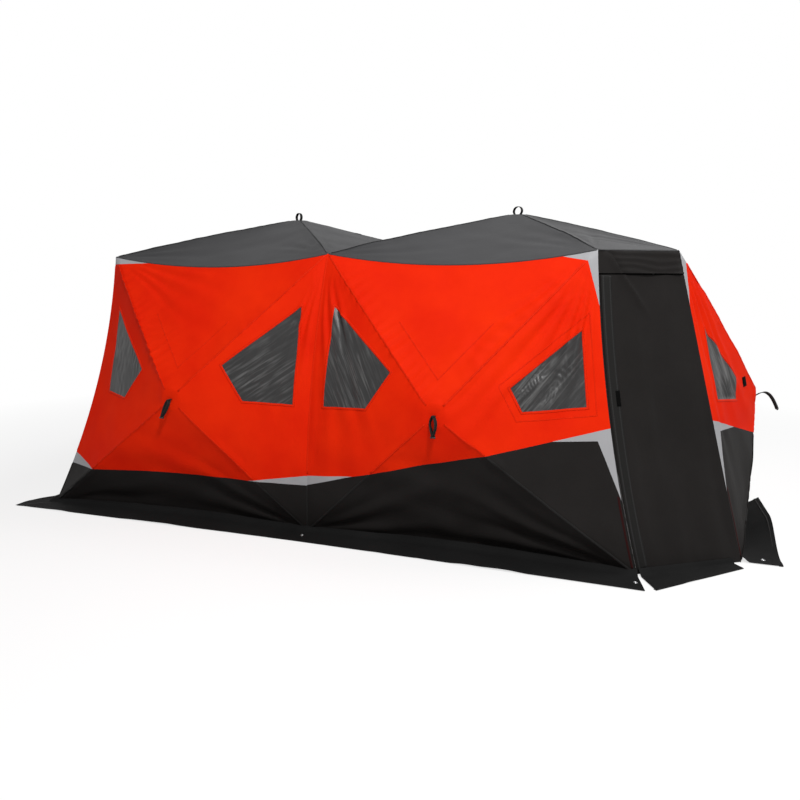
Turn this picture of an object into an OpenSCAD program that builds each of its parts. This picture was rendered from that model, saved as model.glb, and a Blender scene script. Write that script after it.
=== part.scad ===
// Pop-up ice fishing shelter with two bays.
// Each fabric panel is pushed out by poles that spring from a hub in its middle
// to its corners. X runs along the front, -Y is the front, Z is up from the ground.
// The back is the front turned half a turn about Z, so there are two corner doors.

/* [Outline] */
// Length between the end corners, on the ground
base_len = 4550; // [4200:10:4900]
// Width between the long walls, on the ground
base_width = 2390; // [2200:10:2600]
// Length between the end corners, at the eaves
eave_len = 3696; // [3500:4:3900]
// Width between the long walls, at the eaves
eave_width = 1854; // [1700:2:2000]
// Height of the eave corners
eave_z = 1765; // [1650:5:1850]
// Height of the two roof peaks
peak_z = 2050; // [1980:5:2150]
// Distance of a peak from the middle, along the length
peak_x = 825; // [750:5:900]
// Distance of a peak from the middle, across the width
peak_y = 40; // [0:5:80]

/* [Door corner] */
// Length of front wall that the door corner takes, on the ground
door_run_base = 564; // [500:2:640]
// Length of front wall that the door corner takes, at the eaves
door_run_eave = 434; // [380:2:480]
// Angle between the door and the front wall
door_angle = 35.3; // [30:0.1:40]
// Height of the fixed strip over the door
header_h = 130; // [80:5:200]
// Play between the door's free edges and the walls
door_gap = 8; // [6:0.5:14]
// Play along the sewn hinge edge of the door
hinge_gap = 0.5; // [0.3:0.1:0.9]
// Play between the closed door and the ground
door_lift = 2; // [1:0.5:5]

/* [Hubs and poles] */
// Height of the wall hubs
hub_z = 842; // [780:2:900]
// How far a long wall's hub stands out from the line of its corners
hub_push = 277; // [220:1:320]
// How far an end wall's hub stands out from the line of its corners
end_hub_push = 335; // [280:1:380]
// Sideways place of the hub in a bay beside a door
door_bay_shift = -60; // [-90:2:0]
// Sideways place of the hub in a bay away from the doors
plain_bay_shift = 10; // [-40:2:40]
// Sideways place of the hub in an end wall
end_bay_shift = -64; // [-120:2:0]
// Diameter of the poles
pole_d = 11; // [9:0.5:13]
// Diameter of a pole socket on a hub
socket_d = 19; // [16:0.5:22]
// Length of a socket inside the hub's disc
socket_root = 12; // [8:1:16]
// Length of pole that a socket holds
socket_len = 32; // [25:1:45]
// Play between a pole and its socket
socket_play = 0.3; // [0.2:0.05:0.4]
// Radius of a hub's disc
hub_r = 62; // [58:1:64]
// Radius of the flat fabric pad over a hub
pad_r = 66; // [60:1:80]
// Distance from a pole's tip to its corner
tip_gap = 60; // [50:1:90]
// Room for the fold of the fabric over a socket
socket_room = 4; // [2:0.5:6]
// Room for the fold of the fabric over a pole's tip
tip_room = 5; // [4:0.5:8]

/* [Fabric] */
// Thickness of the wall and roof fabric
fabric_t = 4; // [3:0.5:6]
// Gap at a sewn seam
seam_gap = 0.4; // [0.2:0.1:0.8]
// Gap between a piece and what it lies against
seat_gap = 0.3; // [0.2:0.05:0.5]
// Sag of the eave seam between corners
eave_sag = 76; // [40:1:130]
// How far a plain corner seam is drawn in
corner_tuck = 85; // [60:5:190]
// How far the middle seam is drawn out
seam_bow = 110; // [20:5:150]
// How far the door's latch seam is drawn towards the wall
latch_bow = 55; // [10:1:80]
// How far the base of a wall is drawn in between its corners
base_tuck = 75; // [0:5:110]
// Inward step of the base at the middle seam
seam_base_step = 47; // [0:1:80]
// Rise of the roof's middle seam
valley_rise = 30; // [0:5:80]
// Bow of the wall poles
wall_bow = 10; // [5:1:40]
// Bow of the roof poles
roof_bow = 10; // [5:1:50]

/* [Lower band] */
// Height of the dark lower band at a plain corner
band_corner_z = 285; // [200:5:400]
// Height of the band at the middle seam
band_seam_z = 325; // [250:5:450]
// Height of the band beside a door
band_door_z = 800; // [600:5:900]

/* [Windows] */
// Thickness of a clear pane
pane_t = 1; // [0.5:0.1:2]
// Lap of a pane behind the edge of its opening
pane_lap = 14; // [8:1:25]

/* [Ground skirt] */
// Width of the skirt that lies on the ground
skirt_w = 215; // [150:5:280]
// Thickness of the skirt
skirt_t = 2.5; // [1.5:0.5:3]
// Distance from the foot of the wall to the skirt's seam
skirt_seam = 1.6; // [1.5:0.1:2]
// How far a door's skirt flares past its latch end
door_skirt_flare = 45; // [20:1:60]
// Width of a door's skirt at its hinge end
door_skirt_w = 82; // [60:2:100]
// Distance of a door's skirt from the hinge
door_skirt_start = 62; // [56:2:90]

/* [Pull straps] */
// Width of the webbing
strap_w = 25; // [18:1:32]
// Thickness of the webbing
strap_t = 3; // [2:0.5:4]
// Length of a wall strap's loop
wall_loop_h = 124; // [90:2:150]
// Height of a roof strap's loop
roof_loop_h = 56; // [50:1:80]
// Width of a loop's eye
loop_eye = 32; // [20:1:40]
// Distance of a wall strap's loop from the pad it is sewn to
strap_stand = 14; // [8:1:24]
// Width of the tab that carries a wall strap's loop
strap_tab_w = 14; // [10:1:20]

/* [Hidden] */

// Steps along each edge of a panel, and from its hub to its edge
edge_steps = 6;
panel_rings = 4;
// Longest reach of a cutting shape through a wall
reach = base_len;

// Colours
red = [0.9, 0.13, 0.02];
black = [0.09, 0.085, 0.085];
roof_grey = [0.3, 0.3, 0.32];
clear = [0.55, 0.58, 0.6, 0.5];
pole_grey = [0.2, 0.2, 0.22];

// Plain helpers
function lerp(a, b, s) = a + (b - a) * s;
function unit(v) = v / norm(v);
function along(v, n) = v - n * (v * n);
function bowed(a, b, bow, s) = lerp(a, b, s) + bow * 4 * s * (1 - s);
function turned(p) = [-p.x, -p.y, p.z];
function mitre(n1, n2) = -(n1 + n2) / (1 + n1 * n2);

// Outward directions of the walls and the front door
front_out = [0, -1, 0];
end_out = [1, 0, 0];
door_out = [sin(door_angle), -cos(door_angle), 0];
// From the door's hinge to its latch
door_across = [-cos(door_angle), -sin(door_angle), 0];

// Corners at the eaves and on the ground
corner_top = [-eave_len / 2, -eave_width / 2, eave_z];
latch_top = [eave_len / 2 - door_run_eave, -eave_width / 2, eave_z];
hinge_top = [eave_len / 2, door_run_eave * tan(door_angle) - eave_width / 2, eave_z];
seam_top = [(corner_top.x + latch_top.x) / 2, -eave_width / 2, eave_z];
corner_base = [-base_len / 2, -base_width / 2, 0];
latch_base = [base_len / 2 - door_run_base, -base_width / 2, 0];
hinge_base = [base_len / 2, door_run_base * tan(door_angle) - base_width / 2, 0];
seam_base = [(corner_base.x + latch_base.x) / 2, seam_base_step - base_width / 2, 0];

// Inward step of the fabric's inner face at each corner, for a thickness of 1
down = [0, 0, -1];
corner_in = mitre(front_out, -end_out);
seam_in = -front_out;
latch_in = mitre(front_out, door_out);
hinge_in = mitre(door_out, end_out);

// Bows of the seams
eave_bow = down * eave_sag;
corner_bow = unit([1, 1, 0]) * corner_tuck;
middle_bow = front_out * seam_bow;
latch_edge_bow = door_across * latch_bow;
straight = [0, 0, 0];
valley_bow = -down * valley_rise;

// Places of the hubs
hub_rise = hub_z / eave_z;
function bay_middle(a, b, c, d) = (a + b + c + d) / 4;
left_hub = [
  bay_middle(corner_top, seam_top, seam_base, corner_base).x + plain_bay_shift,
  -lerp(base_width, eave_width, hub_rise) / 2 - hub_push,
  hub_z
];
right_hub = [
  bay_middle(seam_top, latch_top, latch_base, seam_base).x + door_bay_shift,
  left_hub.y,
  hub_z
];
end_hub = [
  lerp(base_len, eave_len, hub_rise) / 2 + end_hub_push,
  lerp(hinge_base.y - corner_base.y, hinge_top.y - corner_top.y, hub_rise) / 2 + end_bay_shift,
  hub_z
];
peak = [peak_x, peak_y, peak_z];

// A panel is its corners, clockwise from outside, the bow of the edge after each
// corner, the inward step at each corner, its hub, its outward direction and its pole bow
front_left = [
  [corner_top, seam_top, seam_base, corner_base],
  [eave_bow, middle_bow, -front_out * base_tuck, corner_bow],
  [corner_in + down, seam_in + down, seam_in, corner_in],
  left_hub, front_out, wall_bow
];
front_right = [
  [seam_top, latch_top, latch_base, seam_base],
  [eave_bow, latch_edge_bow, -front_out * base_tuck, middle_bow],
  [seam_in + down, latch_in + down, latch_in, seam_in],
  right_hub, front_out, wall_bow
];
right_end = [
  [hinge_top, turned(corner_top), turned(corner_base), hinge_base],
  [eave_bow, turned(corner_bow), -end_out * base_tuck, straight],
  [hinge_in + down, turned(corner_in) + down, turned(corner_in), hinge_in],
  end_hub, end_out, wall_bow
];
right_top = [
  [seam_top, turned(seam_top), turned(corner_top), hinge_top, latch_top],
  [valley_bow, eave_bow, eave_bow, straight, eave_bow],
  [seam_in + down, turned(seam_in) + down, turned(corner_in) + down, hinge_in + down, latch_in + down],
  peak, -down, roof_bow
];

// Points of a panel at a depth under its outer face, ring by ring from the hub
function corner_count(p) = len(p[0]);
function edge_shares(p) = [
  for (k = [0 : corner_count(p) - 1]) for (i = [0 : edge_steps - 1]) [k, i / edge_steps]
];
function next(p, k) = (k + 1) % corner_count(p);
function rim_point(p, e, depth) =
  let (r = bowed(p[0][e[0]], p[0][next(p, e[0])], p[1][e[0]], e[1]))
  r + unit(p[3] - r) * seam_gap / 2 + lerp(p[2][e[0]], p[2][next(p, e[0])], e[1]) * depth;
function pad_point(p, rim, depth) = p[3] + unit(along(rim - p[3], p[4])) * pad_r - p[4] * depth;
function ring_point(p, e, depth, s) =
  let (r = rim_point(p, e, depth), ridge = pow(1 - 2 * e[1], 2))
  bowed(pad_point(p, r, depth), r, p[4] * p[5] * ridge, s);
function panel_points(p, depth) = [
  for (j = [0 : panel_rings]) for (e = edge_shares(p)) ring_point(p, e, depth, j / panel_rings)
];

// A closed sheet between two depths of a panel
module panel_sheet(p, near, far) {
  n = corner_count(p) * edge_steps;
  far_start = n * (panel_rings + 1);
  last = n * panel_rings;
  around = [for (i = [0 : n - 1]) [i, (i + 1) % n]];
  between = [
    for (j = [0 : panel_rings - 1]) for (a = around) [a[0], a[1], a[0] + n, a[1] + n] + j * n * [1, 1, 1, 1]
  ];
  faces = concat(
    [for (q = between) [q[0], q[2], q[3]]],
    [for (q = between) [q[0], q[3], q[1]]],
    [for (q = between) [q[0], q[3], q[2]] + far_start * [1, 1, 1]],
    [for (q = between) [q[0], q[1], q[3]] + far_start * [1, 1, 1]],
    [for (a = around) [last + a[0], last + a[0] + far_start, last + a[1] + far_start]],
    [for (a = around) [last + a[0], last + a[1] + far_start, last + a[1]]],
    [[for (i = [0 : n - 1]) i]],
    [[for (i = [0 : n - 1]) far_start + n - 1 - i]]
  );
  polyhedron(concat(panel_points(p, near), panel_points(p, far)), faces);
}

// A flat sheet from its outline, clockwise from outside, and the outline of its inner face
module flat_sheet(outer, inner) {
  n = len(outer);
  faces = concat(
    [[for (i = [0 : n - 1]) i]],
    [[for (i = [0 : n - 1]) 2 * n - 1 - i]],
    [for (i = [0 : n - 1]) [i, n + i, n + (i + 1) % n, (i + 1) % n]]
  );
  polyhedron(concat(outer, inner), faces);
}

// Cutting shape drawn on a wall's elevation: turn is 0 on the front and 90 on the right end
module through(turn) {
  rotate([90, 0, turn]) linear_extrude(height = 2 * reach, center = true) children();
}
function elevation(p, turn) = turn == 0 ? [p.x, p.z] : [p.y, p.z];

// Windows: shares of hub and top corner at each corner of the pane, the rest is the bottom corner
seam_window = [[0.13, 0.75], [0.645, 0.295], [0.475, 0.25], [0.12, 0.41]];
corner_window = [[0.17, 0.71], [0.61, 0.28], [0.47, 0.23], [0.25, 0.35]];
door_window = [[0.14, 0.68], [0.56, 0.3], [0.51, 0.25], [0.16, 0.435]];
function window_outline(hub, top, base, shape, turn) = [
  for (s = shape) elevation(hub * s[0] + top * s[1] + base * (1 - s[0] - s[1]), turn)
];
front_left_panes = [
  window_outline(left_hub, corner_top, corner_base, corner_window, 0),
  window_outline(left_hub, seam_top, seam_base, seam_window, 0)
];
front_right_panes = [
  window_outline(right_hub, seam_top, seam_base, seam_window, 0),
  window_outline(right_hub, latch_top, latch_base, door_window, 0)
];
right_end_panes = [
  window_outline(end_hub, hinge_top, hinge_base, door_window, 90),
  window_outline(end_hub, turned(corner_top), turned(corner_base), corner_window, 90)
];

// Top line of the dark band on each wall's elevation, from its start to its end
latch_band = lerp(latch_base, latch_top, band_door_z / eave_z);
hinge_band = lerp(hinge_base, hinge_top, band_door_z / eave_z);
front_left_line = [[corner_base.x, band_corner_z], [seam_base.x, band_seam_z]];
front_right_line = [[seam_base.x, band_seam_z], [latch_band.x, band_door_z]];
right_end_line = [[hinge_band.y, band_door_z], [-corner_base.y, band_corner_z]];

// The part of an elevation above or below a line, by side 1 or -1
module side_of_line(line, side) {
  run = line[1] - line[0];
  start = line[0] - run + [0, side * seam_gap / 2];
  end = line[1] + run + [0, side * seam_gap / 2];
  polygon([start, end, end + [0, side * reach], start + [0, side * reach]]);
}
module upper_wall(p, panes, line, turn) {
  color(red) difference() {
    intersection() {
      panel_sheet(p, 0, fabric_t);
      through(turn) side_of_line(line, 1);
    }
    for (outline = panes) through(turn) polygon(outline);
  }
}
module lower_band(p, line, turn) {
  color(black) intersection() {
    panel_sheet(p, 0, fabric_t);
    through(turn) side_of_line(line, -1);
  }
}
module windows(p, panes, turn) {
  color(clear) for (outline = panes) intersection() {
    panel_sheet(p, fabric_t + seat_gap, fabric_t + seat_gap + pane_t);
    through(turn) offset(delta = pane_lap) polygon(outline);
  }
}
module half_turn() { rotate([0, 0, 180]) children(); }

// Depth of a pole's axis under the fabric, at its hub and at its tip
function facet_room(p) = p[5] / pow(panel_rings, 2);
function hub_depth(p) = fabric_t + socket_d / 2 + socket_room + facet_room(p);
function tip_depth(p) = fabric_t + pole_d / 2 + tip_room + facet_room(p);
// A pole's two ends under the ridge to corner k, and its bow between them
function pole_start(p, k) = ring_point(p, [k, 0], hub_depth(p), 0);
function tip_share(p, k) = 1 - tip_gap / norm(p[0][k] - pole_start(p, k));
function pole_end(p, k) = ring_point(p, [k, 0], tip_depth(p), tip_share(p, k));
function pole_bow(p, k) = p[5] * pow(tip_share(p, k), 2);
// Radius and half angle of a pole's arc
function arc_r(chord, bow) = (chord * chord / 4 + bow * bow) / (2 * bow);
function arc_half(chord, bow) = asin(chord / 2 / arc_r(chord, bow));
// Places a shape whose X runs along u and whose Y bows along v, at point o
module placed(o, u, v) {
  w = cross(u, v);
  multmatrix([[u.x, v.x, w.x, o.x], [u.y, v.y, w.y, o.y], [u.z, v.z, w.z, o.z], [0, 0, 0, 1]]) children();
}
function pole_frame(p, k) =
  let (a = pole_start(p, k), b = pole_end(p, k), u = unit(b - a), v = unit(along(p[4], u))) [a, b, u, v];
module pole(p, k) {
  f = pole_frame(p, k);
  bow = pole_bow(p, k);
  chord = norm(f[1] - f[0]);
  r = arc_r(chord, bow);
  half = arc_half(chord, bow);
  placed((f[0] + f[1]) / 2, f[2], f[3]) translate([0, bow - r, 0]) rotate(90 - half)
    rotate_extrude(angle = 2 * half, $fn = 480) translate([r, 0]) circle(d = pole_d, $fn = 24);
}
module poles(p) {
  color(pole_grey) for (k = [0 : corner_count(p) - 1]) pole(p, k);
}

// A hub: a disc against the fabric pad, with a leaning socket for each pole
module hub(p) {
  half_t = hub_depth(p) - fabric_t - seat_gap;
  difference() {
    union() {
      placed(p[3] - p[4] * hub_depth(p), unit(along(p[0][0] - p[3], p[4])), p[4])
        rotate([90, 0, 0]) cylinder(r = hub_r, h = 2 * half_t, center = true, $fn = 64);
      for (k = [0 : corner_count(p) - 1])
        socket(p, k) translate([0, 0, -socket_root])
          cylinder(d = socket_d, h = socket_root + socket_len, $fn = 32);
    }
    for (k = [0 : corner_count(p) - 1])
      socket(p, k) translate([0, 0, -seat_gap])
        cylinder(d = pole_d + 2 * socket_play, h = socket_len + 2 * seat_gap, $fn = 32);
  }
}
// Stands a shape along the start of pole k
module socket(p, k) {
  f = pole_frame(p, k);
  lean = arc_half(norm(f[1] - f[0]), pole_bow(p, k));
  placed(f[0], f[2], f[3]) rotate([0, 0, lean]) rotate([0, 90, 0]) children();
}

// Webbing loop that hangs along -Y from its top at the origin, with its eye open along X
module strap_loop(h) {
  translate([0, 0, -strap_w / 2]) linear_extrude(height = strap_w) difference() {
    strap_outline(h, loop_eye / 2 + strap_t);
    strap_outline(h, loop_eye / 2);
  }
}
// A slot with round ends of radius r inside a loop of height h
module strap_outline(h, r) {
  fold = loop_eye / 2 + strap_t;
  translate([0, -fold]) circle(r, $fn = 32);
  translate([0, fold - h]) circle(r, $fn = 32);
  translate([-r, fold - h]) square([2 * r, h - 2 * fold]);
}

// Walls
module front_left_wall() { upper_wall(front_left, front_left_panes, front_left_line, 0); }
module front_right_wall() { upper_wall(front_right, front_right_panes, front_right_line, 0); }
module right_end_wall() { upper_wall(right_end, right_end_panes, right_end_line, 90); }
module front_left_band() { lower_band(front_left, front_left_line, 0); }
module front_right_band() { lower_band(front_right, front_right_line, 0); }
module right_end_band() { lower_band(right_end, right_end_line, 90); }
module front_left_windows() { windows(front_left, front_left_panes, 0); }
module front_right_windows() { windows(front_right, front_right_panes, 0); }
module right_end_windows() { windows(right_end, right_end_panes, 90); }
module right_roof() { color(roof_grey) panel_sheet(right_top, 0, fabric_t); }

// Door
header_z = eave_z - header_h;
function hinge_at(z) = lerp(hinge_base, hinge_top, z / eave_z);
function latch_step(i) = bowed(latch_top, latch_base, latch_edge_bow, i / edge_steps);
function latch_at(z) =
  let (s = (1 - z / eave_z) * edge_steps, i = min(floor(s), edge_steps - 1))
  lerp(latch_step(i), latch_step(i + 1), s - i);
door_top_z = header_z - door_gap;
module front_door() {
  free_edge = [
    for (i = [0 : edge_steps])
      latch_at(lerp(door_lift, door_top_z, i / edge_steps)) - door_across * door_gap
  ];
  hinge_edge = [for (z = [door_top_z, door_lift]) hinge_at(z) + door_across * hinge_gap];
  inner = concat(
    [for (q = free_edge) q - door_out * fabric_t],
    [for (q = hinge_edge) q + hinge_in * fabric_t]
  );
  color(black) flat_sheet(concat(free_edge, hinge_edge), inner);
}
module front_door_header() {
  edge = [latch_top, hinge_top, hinge_at(header_z), latch_at(header_z)];
  step = [latch_in + down, hinge_in + down, hinge_in, latch_in];
  middle = bay_middle(edge[0], edge[1], edge[2], edge[3]);
  outer = [for (q = edge) q + unit(middle - q) * seam_gap];
  color(black) flat_sheet(outer, [for (i = [0 : 3]) outer[i] + step[i] * fabric_t]);
}

// Ground skirt
function flat_point(p) = [p.x, p.y];
function base_edge(a, b, bow, out) = [
  for (i = [0 : edge_steps]) flat_point(bowed(a, b, bow, i / edge_steps) + out * skirt_seam)
];
skirt_corner = flat_point(corner_base + [-skirt_w, -skirt_w]);
// Miters the skirts at a plain corner, with a seam gap between them
seam_step = [seam_gap / 2, 0];
module front_skirt() {
  inner = concat(
    base_edge(corner_base, seam_base, -front_out * base_tuck, front_out),
    base_edge(seam_base, latch_base, -front_out * base_tuck, front_out)
  );
  latch_end = flat_point(latch_base) - [door_gap, 0];
  outer = [
    latch_end + [0, -skirt_w],
    flat_point(seam_base) + [0, -skirt_w],
    skirt_corner + seam_step
  ];
  kept = [for (i = [1 : len(inner) - 2]) inner[i]];
  color(black) linear_extrude(height = skirt_t)
    polygon(concat([inner[0] + seam_step], kept, [latch_end + [0, -skirt_seam]], outer));
}
module right_end_skirt() {
  far_base = turned(corner_base);
  far_corner = -skirt_corner;
  inner = base_edge(hinge_base, far_base, -end_out * base_tuck, end_out);
  hinge_end = flat_point(hinge_base + end_out * skirt_seam);
  kept = [for (i = [1 : len(inner) - 2]) inner[i]];
  color(black) linear_extrude(height = skirt_t) polygon(concat(
    [hinge_end],
    kept,
    [flat_point(far_base) + [skirt_seam, skirt_seam - seam_gap], far_corner - [0, seam_gap],
     hinge_end + [skirt_w, 0]]
  ));
}
module front_door_skirt() {
  span = norm(latch_base - hinge_base);
  function spot(s, w) = flat_point(hinge_base + door_across * s + door_out * (w + seat_gap));
  color(black) translate([0, 0, door_lift]) linear_extrude(height = skirt_t) polygon([
    spot(door_skirt_start, 0),
    spot(span - door_gap, 0),
    spot(span - door_gap + door_skirt_flare, skirt_w),
    spot(door_skirt_start, door_skirt_w)
  ]);
}

// Poles, hubs and straps
module front_left_poles() { poles(front_left); }
module front_right_poles() { poles(front_right); }
module right_end_poles() { poles(right_end); }
module right_roof_poles() { poles(right_top); }
module wall_hubs() {
  color(black) for (p = [front_left, front_right, right_end]) {
    hub(p);
    half_turn() hub(p);
  }
}
module roof_hubs() {
  color(black) {
    hub(right_top);
    half_turn() hub(right_top);
  }
}
module hanging_strap(p) {
  tab = strap_w / 2 + strap_stand;
  placed(p[3] + p[4] * (tab + seat_gap), cross(-down, p[4]), -down) {
    strap_loop(wall_loop_h);
    translate([-strap_tab_w / 2, -2 * strap_t, -tab]) cube([strap_tab_w, 2 * strap_t, tab]);
  }
}
module wall_pull_straps() {
  color(black) for (p = [front_left, front_right, right_end]) {
    hanging_strap(p);
    half_turn() hanging_strap(p);
  }
}
module standing_strap(p) {
  placed(p[3] - down * (roof_loop_h + seat_gap), end_out, -down) strap_loop(roof_loop_h);
}
module roof_pull_straps() {
  color(black) {
    standing_strap(right_top);
    half_turn() standing_strap(right_top);
  }
}

front_left_wall();
front_right_wall();
right_end_wall();
half_turn() front_left_wall();  // back_right_wall
half_turn() front_right_wall();  // back_left_wall
half_turn() right_end_wall();  // left_end_wall
front_left_band();
front_right_band();
right_end_band();
half_turn() front_left_band();  // back_right_band
half_turn() front_right_band();  // back_left_band
half_turn() right_end_band();  // left_end_band
half_turn() right_roof();  // left_roof
right_roof();
front_door();
half_turn() front_door();  // back_door
front_door_header();
half_turn() front_door_header();  // back_door_header
front_left_windows();
front_right_windows();
right_end_windows();
half_turn() front_left_windows();  // back_right_windows
half_turn() front_right_windows();  // back_left_windows
half_turn() right_end_windows();  // left_end_windows
front_skirt();
right_end_skirt();
half_turn() front_skirt();  // back_skirt
half_turn() right_end_skirt();  // left_end_skirt
front_door_skirt();
half_turn() front_door_skirt();  // back_door_skirt
front_left_poles();
front_right_poles();
right_end_poles();
half_turn() front_left_poles();  // back_right_poles
half_turn() front_right_poles();  // back_left_poles
half_turn() right_end_poles();  // left_end_poles
half_turn() right_roof_poles();  // left_roof_poles
right_roof_poles();
wall_hubs();
roof_hubs();
wall_pull_straps();
roof_pull_straps();
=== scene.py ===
"""Pop-up ice fishing shelter: fabric, clear panes, webbing and trim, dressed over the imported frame.

The front half is built piece by piece, and each piece gets a twin by half a turn about Z.
"""
import math

import bmesh
import bpy
import numpy as np
from mathutils import Matrix, Vector
from mathutils.bvhtree import BVHTree


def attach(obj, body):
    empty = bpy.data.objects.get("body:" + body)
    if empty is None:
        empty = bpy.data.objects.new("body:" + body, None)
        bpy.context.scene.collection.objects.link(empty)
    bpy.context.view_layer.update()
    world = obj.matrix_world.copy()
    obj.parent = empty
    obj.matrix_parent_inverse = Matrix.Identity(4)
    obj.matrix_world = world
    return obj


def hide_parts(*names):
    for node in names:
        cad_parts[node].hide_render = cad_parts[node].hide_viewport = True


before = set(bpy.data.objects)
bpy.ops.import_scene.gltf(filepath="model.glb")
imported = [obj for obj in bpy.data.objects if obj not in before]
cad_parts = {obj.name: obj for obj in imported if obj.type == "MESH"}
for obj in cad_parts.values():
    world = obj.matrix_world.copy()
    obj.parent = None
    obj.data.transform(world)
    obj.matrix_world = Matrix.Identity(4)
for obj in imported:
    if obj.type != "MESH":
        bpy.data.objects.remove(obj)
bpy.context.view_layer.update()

# Driving dimensions of the solids, in metres
BASE_LEN = 4.55
BASE_WIDTH = 2.39
EAVE_LEN = 3.696
EAVE_WIDTH = 1.854
EAVE_Z = 1.765
PEAK = np.array([0.825, 0.04, 2.05])
DOOR_RUN_BASE = 0.564
DOOR_RUN_EAVE = 0.434
DOOR_ANGLE = math.radians(35.3)
HEADER_H = 0.13
DOOR_GAP = 0.008
HINGE_GAP = 0.0005
DOOR_FOOT = 0.003
HUB_Z = 0.842
HUB_PUSH = 0.277
END_HUB_PUSH = 0.335
DOOR_BAY_SHIFT = -0.06
PLAIN_BAY_SHIFT = 0.01
END_BAY_SHIFT = -0.064
PAD_R = 0.066
EAVE_SAG = 0.076
CORNER_TUCK = 0.085
SEAM_BOW = 0.11
LATCH_BOW = 0.055
BASE_TUCK = 0.075
SEAM_BASE_STEP = 0.047
VALLEY_RISE = 0.03
POLE_BOW = 0.01
BAND_CORNER_Z = 0.285
BAND_SEAM_Z = 0.325
BAND_DOOR_Z = 0.8
SKIRT_W = 0.215
DOOR_SKIRT_FLARE = 0.045
DOOR_SKIRT_W = 0.082
DOOR_SKIRT_START = 0.062

# Fabric of the scene
FABRIC_T = 0.0025
EDGE_STEPS = 44
EDGE_SHARES = np.linspace(0, 1, EDGE_STEPS, endpoint=False)
WALL_RINGS = 112
ROOF_RINGS = 50
PAD_RINGS = 3
WELD = 0.0003
CUT_MARGIN = 0.03
CUT_TOUCH = 1e-5
OUTSIDE = 0.3

# Names of the front half's pieces and of their twins
TWINS = {
    "front_left": "back_right",
    "front_right": "back_left",
    "right_end": "left_end",
    "right_roof": "left_roof",
    "front_door": "back_door",
    "front_skirt": "back_skirt",
}
HALF_TURN = Matrix.Rotation(math.pi, 4, "Z")

# Factors that scramble the noise's grid places
HASH_X = 374761393
HASH_Y = 668265263
HASH_SEED = 974711
HASH_MIX = 1274126177
HASH_MASK = 0x7FFFFFFF


# Plain helpers
def vec(*xyz):
    return np.array(xyz, float)


def unit(v):
    return v / np.linalg.norm(v, axis=-1, keepdims=True)


def lerp(a, b, s):
    return a + (b - a) * s


def bowed(a, b, bow, s):
    return lerp(a, b, s) + bow * 4 * s * (1 - s)


def turned(p):
    return p * vec(-1, -1, 1)


def column(low, high, count):
    return np.linspace(low, high, count)[:, None]


def spread(direction, count):
    """The same direction for each of a number of points."""
    return np.repeat(direction[None], count, axis=0)


def run_along(path):
    """How far along the path each of its points lies."""
    return np.concatenate([[0], np.cumsum(np.linalg.norm(np.diff(path, axis=0), axis=1))])


def distance_to(at, places):
    """How far each point is from the nearest of some places."""
    return np.min(np.linalg.norm(at[:, None] - places[None], axis=2), axis=1)


def smooth(low, high, x):
    t = np.clip((x - low) / (high - low), 0, 1)
    return t * t * (3 - 2 * t)


def between(rise, fall, x):
    """Rises from 0 to 1 over one span and falls back over another."""
    return smooth(*rise, x) * (1 - smooth(*fall, x))


def settle(share, amount):
    """0 at both ends, 1 between."""
    return between((0, amount), (1 - amount, 1), share)


def noise(x, y, seed):
    """Smooth noise from -1 to 1 on a unit grid, the same on every run."""
    xi, yi = np.floor(x).astype(np.int64), np.floor(y).astype(np.int64)
    ux, uy = smooth(0, 1, x - xi), smooth(0, 1, y - yi)

    def corner(i, j):
        h = (i * HASH_X + j * HASH_Y + seed * HASH_SEED) & HASH_MASK
        h = ((h ^ (h >> 13)) * HASH_MIX) & HASH_MASK
        return (h ^ (h >> 16)) / (HASH_MASK // 2) - 1

    low = lerp(corner(xi, yi), corner(xi + 1, yi), ux)
    high = lerp(corner(xi, yi + 1), corner(xi + 1, yi + 1), ux)
    return lerp(low, high, uy)


# Key points of the front half
UP = vec(0, 0, 1)
FRONT_OUT = vec(0, -1, 0)
END_OUT = vec(1, 0, 0)
DOOR_OUT = vec(math.sin(DOOR_ANGLE), -math.cos(DOOR_ANGLE), 0)
DOOR_ACROSS = vec(-math.cos(DOOR_ANGLE), -math.sin(DOOR_ANGLE), 0)
CORNER_TOP = vec(-EAVE_LEN / 2, -EAVE_WIDTH / 2, EAVE_Z)
LATCH_TOP = vec(EAVE_LEN / 2 - DOOR_RUN_EAVE, -EAVE_WIDTH / 2, EAVE_Z)
HINGE_TOP = vec(EAVE_LEN / 2, DOOR_RUN_EAVE * math.tan(DOOR_ANGLE) - EAVE_WIDTH / 2, EAVE_Z)
SEAM_TOP = (CORNER_TOP + LATCH_TOP) / 2
CORNER_BASE = vec(-BASE_LEN / 2, -BASE_WIDTH / 2, 0)
LATCH_BASE = vec(BASE_LEN / 2 - DOOR_RUN_BASE, -BASE_WIDTH / 2, 0)
HINGE_BASE = vec(BASE_LEN / 2, DOOR_RUN_BASE * math.tan(DOOR_ANGLE) - BASE_WIDTH / 2, 0)
SEAM_BASE = (CORNER_BASE + LATCH_BASE) / 2 + vec(0, SEAM_BASE_STEP, 0)
FAR_TOP = turned(CORNER_TOP)
FAR_BASE = turned(CORNER_BASE)
HUB_SHARE = HUB_Z / EAVE_Z
HUB_Y = -lerp(BASE_WIDTH, EAVE_WIDTH, HUB_SHARE) / 2 - HUB_PUSH
LEFT_HUB = vec((CORNER_TOP + SEAM_TOP + SEAM_BASE + CORNER_BASE)[0] / 4 + PLAIN_BAY_SHIFT, HUB_Y, HUB_Z)
RIGHT_HUB = vec((SEAM_TOP + LATCH_TOP + LATCH_BASE + SEAM_BASE)[0] / 4 + DOOR_BAY_SHIFT, HUB_Y, HUB_Z)
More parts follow.
